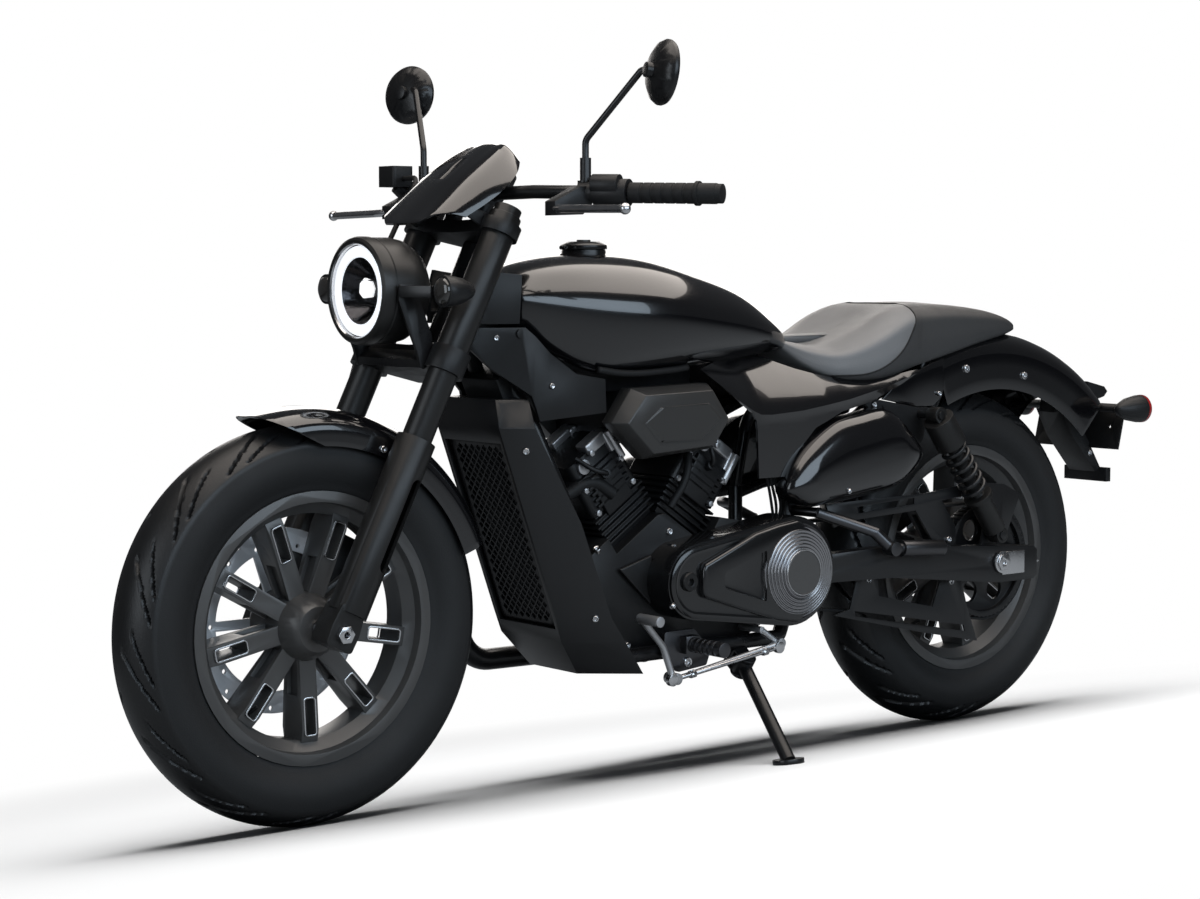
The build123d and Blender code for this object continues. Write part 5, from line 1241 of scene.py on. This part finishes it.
class CRUISER_OT_intake(bpy.types.Operator):
    """Six-sided intake covers: faceted flanks, stepped faces and a raised rim"""
    bl_idname = "cruiser.intake"
    bl_label = "Intake covers"

    MIDDLE = (0.045, 0.621)
    OUTER = [(0.182, 0.624), (0.140, 0.681), (-0.030, 0.685), (-0.072, 0.622), (-0.046, 0.572),
             (0.112, 0.560)]
    FACE = [(0.128, 0.622), (0.094, 0.648), (-0.014, 0.652), (-0.042, 0.624), (0.002, 0.590),
            (0.096, 0.588)]
    LAYERS = (  # y, share of the way from the outer edge to the face, growth
        (0.092, 0.0, 0.0), (0.118, 0.0, 0.0), (0.141, 0.36, 0.0), (0.1435, 0.80, 0.0),
        (0.1435, 0.98, 0.02), (0.1415, 1.0, 0.0), (0.1415, 1.0, -0.04), (0.1455, 1.0, -0.075))
    BOX = [(0.136, 0.588), (0.140, 0.650), (0.110, 0.676), (-0.024, 0.676), (-0.058, 0.650),
           (-0.054, 0.588)]
    DUCT = [(0.345, 0.640), (0.372, 0.700), (0.330, 0.722), (-0.050, 0.722), (-0.050, 0.672),
            (0.270, 0.672), (0.286, 0.640)]

    def between(self, share, grow):
        """Outline a share of the way from the outer edge to the face, grown round the middle."""
        mx, mz = self.MIDDLE
        out = []
        for (xa, za), (xb, zb) in zip(self.OUTER, self.FACE):
            x, z = xa + (xb - xa) * share, za + (zb - za) * share
            out.append((mx + (x - mx) * (1 + grow), mz + (z - mz) * (1 + grow)))
        return out

    def execute(self, context):
        for side, tag in SIDES:
            layers = [(side * y, self.between(share, grow)) for y, share, grow in self.LAYERS]
            cover = bevel(stacked("intake_cover_" + tag, layers), 0.0042, 4, 12)
            fit(cover, "chassis", "intake", 30, ("air_covers",) if tag == "left" else ())
        box = slab("intake_box", self.BOX, -0.092, 0.092, 0.006, 3)
        fit(box, "chassis", "matte", 35)
        duct = slab("intake_duct", self.DUCT, -0.052, 0.052, 0.004)
        fit(duct, "chassis", "matte", 35)
        return {"FINISHED"}


class CRUISER_OT_engine_trim(bpy.types.Operator):
    """Plug leads, rocker covers' castings and their bolts, hoses"""
    bl_idname = "cruiser.engine_trim"
    bl_label = "Engine trim"

    CRANK = Vector((0.041, 0, 0.362))
    HALF_VEE = 34
    LEAD = [(0.0, 0.205, 0.066), (0.004, 0.214, 0.083), (0.02, 0.232, 0.082), (0.03, 0.262, 0.060)]
    BOLTS = ((-0.045, 0.158), (0.045, 0.158), (-0.045, 0.206), (0.045, 0.206), (0.0, 0.252))

    def cylinder(self, angle, side):
        """Bright and black pieces on one side of the cylinder that leans by an angle."""
        turn = Matrix.Rotation(math.radians(angle), 4, "Y")

        def at(along, up, y):
            return self.CRANK + turn @ Vector((along, side * y, up))
        silver = [
            block("rocker_casting", at(-0.020, 0.256, 0.046), (0.046, 0.030, 0.022), 0.004, turn),
            block("rocker_lug", at(-0.048, 0.240, 0.047), (0.020, 0.032, 0.046), 0.004, turn),
            rod("rocker_post", at(-0.052, 0.205, 0.060), at(-0.052, 0.262, 0.060), 0.008, 16),
            rod("rocker_boss", at(0.024, 0.240, 0.050), at(0.024, 0.240, 0.064), 0.013, 24)]
        for along, up in self.BOLTS:
            silver.append(rod("head_bolt", at(along, up, 0.060), at(along, up, 0.0685), 0.0058,
                              6, 0.0006))
        black = [
            tube("plug_lead", [at(*point) for point in self.LEAD], 0.0042),
            rod("plug_cap", at(0.0, 0.205, 0.060), at(0.002, 0.211, 0.080), 0.0085),
            block("side_casting", at(0.0, 0.180, 0.066), (0.064, 0.010, 0.078), 0.003, turn)]
        return silver, black

    def harness(self, k):
        """One of four wires side by side."""
        points = [(-0.178 - 0.004 * k, 0.092, 0.560),
                  (-0.192 - 0.006 * k, 0.098 + 0.003 * k, 0.500),
                  (-0.214 - 0.007 * k, 0.088, 0.440), (-0.222, 0.082, 0.428)]
        return tube("harness", points, 0.0028, 8)

    def execute(self, context):
        silver, black = [], []
        for sign in (1, -1):
            for side, _ in SIDES:
                bright, dark = self.cylinder(sign * self.HALF_VEE, side)
                silver += bright
                black += dark
        fit(joined(silver, "head_hardware"), "chassis", "alloy", 40)
        fit(joined(black, "plug_leads"), "chassis", "matte", 40)
        coolant = [(0.226, 0.050, 0.500), (0.180, 0.062, 0.520), (0.140, 0.070, 0.500)]
        breather = [(-0.030, 0.070, 0.560), (-0.012, 0.084, 0.520), (0.020, 0.080, 0.470)]
        hoses = [tube("coolant_hose", coolant, 0.012, 16),
                 tube("breather_hose", breather, 0.007, 16)]
        hoses += [self.harness(k) for k in range(4)]
        fit(joined(hoses, "hoses"), "chassis", "rubber", 60)
        return {"FINISHED"}


class CRUISER_OT_running_gear(bpy.types.Operator):
    """Swing arm's axle blocks and adjusters, and the shift linkage"""
    bl_idname = "cruiser.running_gear"
    bl_label = "Running gear"

    LINK = Vector((0.074, 0.1495, 0.183)), Vector((-0.172, 0.1495, 0.2155))

    def execute(self, context):
        bright = []
        for side, _ in SIDES:
            y, bolt_y = side * 0.1515, side * 0.137
            bright += [
                block("axle_block", (-0.776, y, 0.320), (0.062, 0.005, 0.044), 0.0016),
                rod("axle_washer", (-0.744, y, 0.323), (-0.744, y + side * 0.0045, 0.323), 0.021),
                rod("adjuster", (-0.812, bolt_y, 0.318), (-0.862, bolt_y, 0.317), 0.0042, 16),
                rod("adjuster_nut", (-0.846, bolt_y, 0.317), (-0.853, bolt_y, 0.317), 0.0085,
                    6, 0.0006)]
        front, back = self.LINK
        for end in self.LINK:
            bright.append(rod("link_eye", end - 0.0055 * LEFT, end + 0.005 * LEFT, 0.0105, 24))
        bright.append(rod("link_rod", front, back, 0.0042, 16))
        for t in (0.16, 0.84):
            bright.append(rod("link_nut", front.lerp(back, t), front.lerp(back, t + 0.05), 0.0072,
                              6, 0.0006))
        fit(joined(bright, "bright_hardware"), "chassis", "bright", 40)
        return {"FINISHED"}


# ------------------------------------------------------------------ fasteners
def surface_hit(name, x, z, side):
    """Where a sideways line at (x, z) first meets a fitted piece, and the way it faces there."""
    back = MACHINE.inverted()
    start = MACHINE @ Vector((x, side * 0.6, z))
    ray = MACHINE.to_3x3() @ Vector((0, -side, 0))
    hit, place, normal, _ = bpy.data.objects[name].ray_cast(start, ray.normalized())
    return (back @ place, back.to_3x3() @ normal) if hit else (None, None)


def bolt(place, along, radius, height=0.0035):
    """Socket-head bolt with a rounded rim and a round recess."""
    shape = ((0.0, 0.35), (0.46, 0.35), (0.50, 1.1), (0.80, 1.25), (0.96, 1.0), (1.0, 0.6),
             (1.0, -1.0))
    profile = [(radius * share, height * rise) for share, rise in shape]
    obj = lathe("bolt", profile, (0, 0, 0), UP, 20, False)
    obj.data.transform(Matrix.Translation(place) @ turning(UP, along))
    return obj


class CRUISER_OT_fasteners(bpy.types.Operator):
    """Bolts on covers, guards, mudguards and the engine"""
    bl_idname = "cruiser.fasteners"
    bl_label = "Fasteners"

    BOTH, LEFT_ONLY, RIGHT_ONLY = (1, -1), (1,), (-1,)
    STUDS = (  # piece, body, sides, then x, z and radius of each
        ("front_mudguard", "steering", BOTH, (0.6076, 0.5982, 0.0062), (0.5540, 0.5700, 0.0062)),
        ("rear_mudguard", "chassis", BOTH, (-0.700, 0.690, 0.0075), (-0.862, 0.672, 0.0075)),
        ("radiator_shroud_skin", "chassis", BOTH, (0.352, 0.585, 0.006), (0.222, 0.300, 0.006)),
        ("left_cover_shell", "chassis", LEFT_ONLY, (0.072, 0.310, 0.0055)),
        ("crankcase_skin", "chassis", BOTH, (0.089, 0.440, 0.0065), (0.027, 0.429, 0.0065),
         (-0.053, 0.438, 0.0060), (0.184, 0.408, 0.0065), (0.172, 0.300, 0.0055),
         (0.120, 0.240, 0.0055)),
        ("belt_guards_skin", "chassis", LEFT_ONLY, (-0.627, 0.372, 0.0065),
         (-0.758, 0.362, 0.0065), (-0.417, 0.314, 0.0065), (-0.635, 0.292, 0.0065)),
        ("swing_arm_skin", "chassis", RIGHT_ONLY, (-0.292, 0.345, 0.012)),
        ("shocks_skin", "chassis", BOTH, (-0.562, 0.610, 0.010), (-0.732, 0.376, 0.010)),
        ("neck_covers_skin", "chassis", BOTH, (0.388, 0.770, 0.005), (0.300, 0.690, 0.005)),
        ("side_case_left", "chassis", LEFT_ONLY, (-0.330, 0.484, 0.005)),
        ("side_case_right", "chassis", RIGHT_ONLY, (-0.330, 0.484, 0.005)),
        ("shock_plate_left", "chassis", LEFT_ONLY, (-0.440, 0.632, 0.006)),
        ("shock_plate_right", "chassis", RIGHT_ONLY, (-0.440, 0.632, 0.006)),
        ("tail_infill_left", "chassis", LEFT_ONLY, (-0.618, 0.646, 0.005)),
        ("tail_infill_right", "chassis", RIGHT_ONLY, (-0.618, 0.646, 0.005)),
        ("plate_carrier_skin", "chassis", BOTH, (-1.080, 0.578, 0.006), (-1.130, 0.505, 0.006)),
        ("fork_clamps_skin", "steering", BOTH, (0.537, 0.762, 0.005), (0.547, 0.742, 0.005)),
        ("foot_pegs_skin", "chassis", BOTH, (0.020, 0.206, 0.009)),
        ("headlight_bracket_skin", "steering", BOTH, (0.548, 0.847, 0.008)),
    )

    def execute(self, context):
        made = {"steering": [], "chassis": []}
        for piece, body, sides, *studs in self.STUDS:
            for x, z, radius in studs:
                for side in sides:
                    place, normal = surface_hit(piece, x, z, side)
                    if place is not None:
                        made[body].append(bolt(place, normal, radius))
        for body, bolts in made.items():
            fit(joined(bolts, body + "_bolts"), body, "bright", 40)
        return {"FINISHED"}


STEPS = (CRUISER_OT_stage, CRUISER_OT_finishes, CRUISER_OT_tyres, CRUISER_OT_headlight,
         CRUISER_OT_tank, CRUISER_OT_seat, CRUISER_OT_fenders, CRUISER_OT_panels,
         CRUISER_OT_screen, CRUISER_OT_left_cover, CRUISER_OT_intake, CRUISER_OT_hardware,
         CRUISER_OT_wheel_trim, CRUISER_OT_lamps, CRUISER_OT_engine_trim,
         CRUISER_OT_running_gear, CRUISER_OT_fasteners)


class CRUISER_PT_panel(bpy.types.Panel):
    """Sizes, colours and one button for each part of the machine"""
    bl_label = "Cruiser"
    bl_space_type = "VIEW_3D"
    bl_region_type = "UI"
    bl_category = "Cruiser"

    def draw(self, context):
        for name in Sizes.__annotations__:
            self.layout.prop(sizes(), name)
        for step in STEPS:
            self.layout.operator(step.bl_idname)


CLASSES = (Sizes, *STEPS, CRUISER_PT_panel)


def register():
    for cls in CLASSES:
        bpy.utils.register_class(cls)
    bpy.types.Scene.cruiser_sizes = bpy.props.PointerProperty(type=Sizes)


def unregister():
    del bpy.types.Scene.cruiser_sizes
    for cls in reversed(CLASSES):
        bpy.utils.unregister_class(cls)


def rounded(corners):
    return [[round(value, 4) for value in corner] for corner in corners]


def main():
    register()
    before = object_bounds()
    for step in STEPS:
        group, name = step.bl_idname.split(".")
        getattr(getattr(bpy.ops, group), name)()
    {"before": rounded(before), "after": rounded(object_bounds())}


if __name__ == "__main__":
    main()
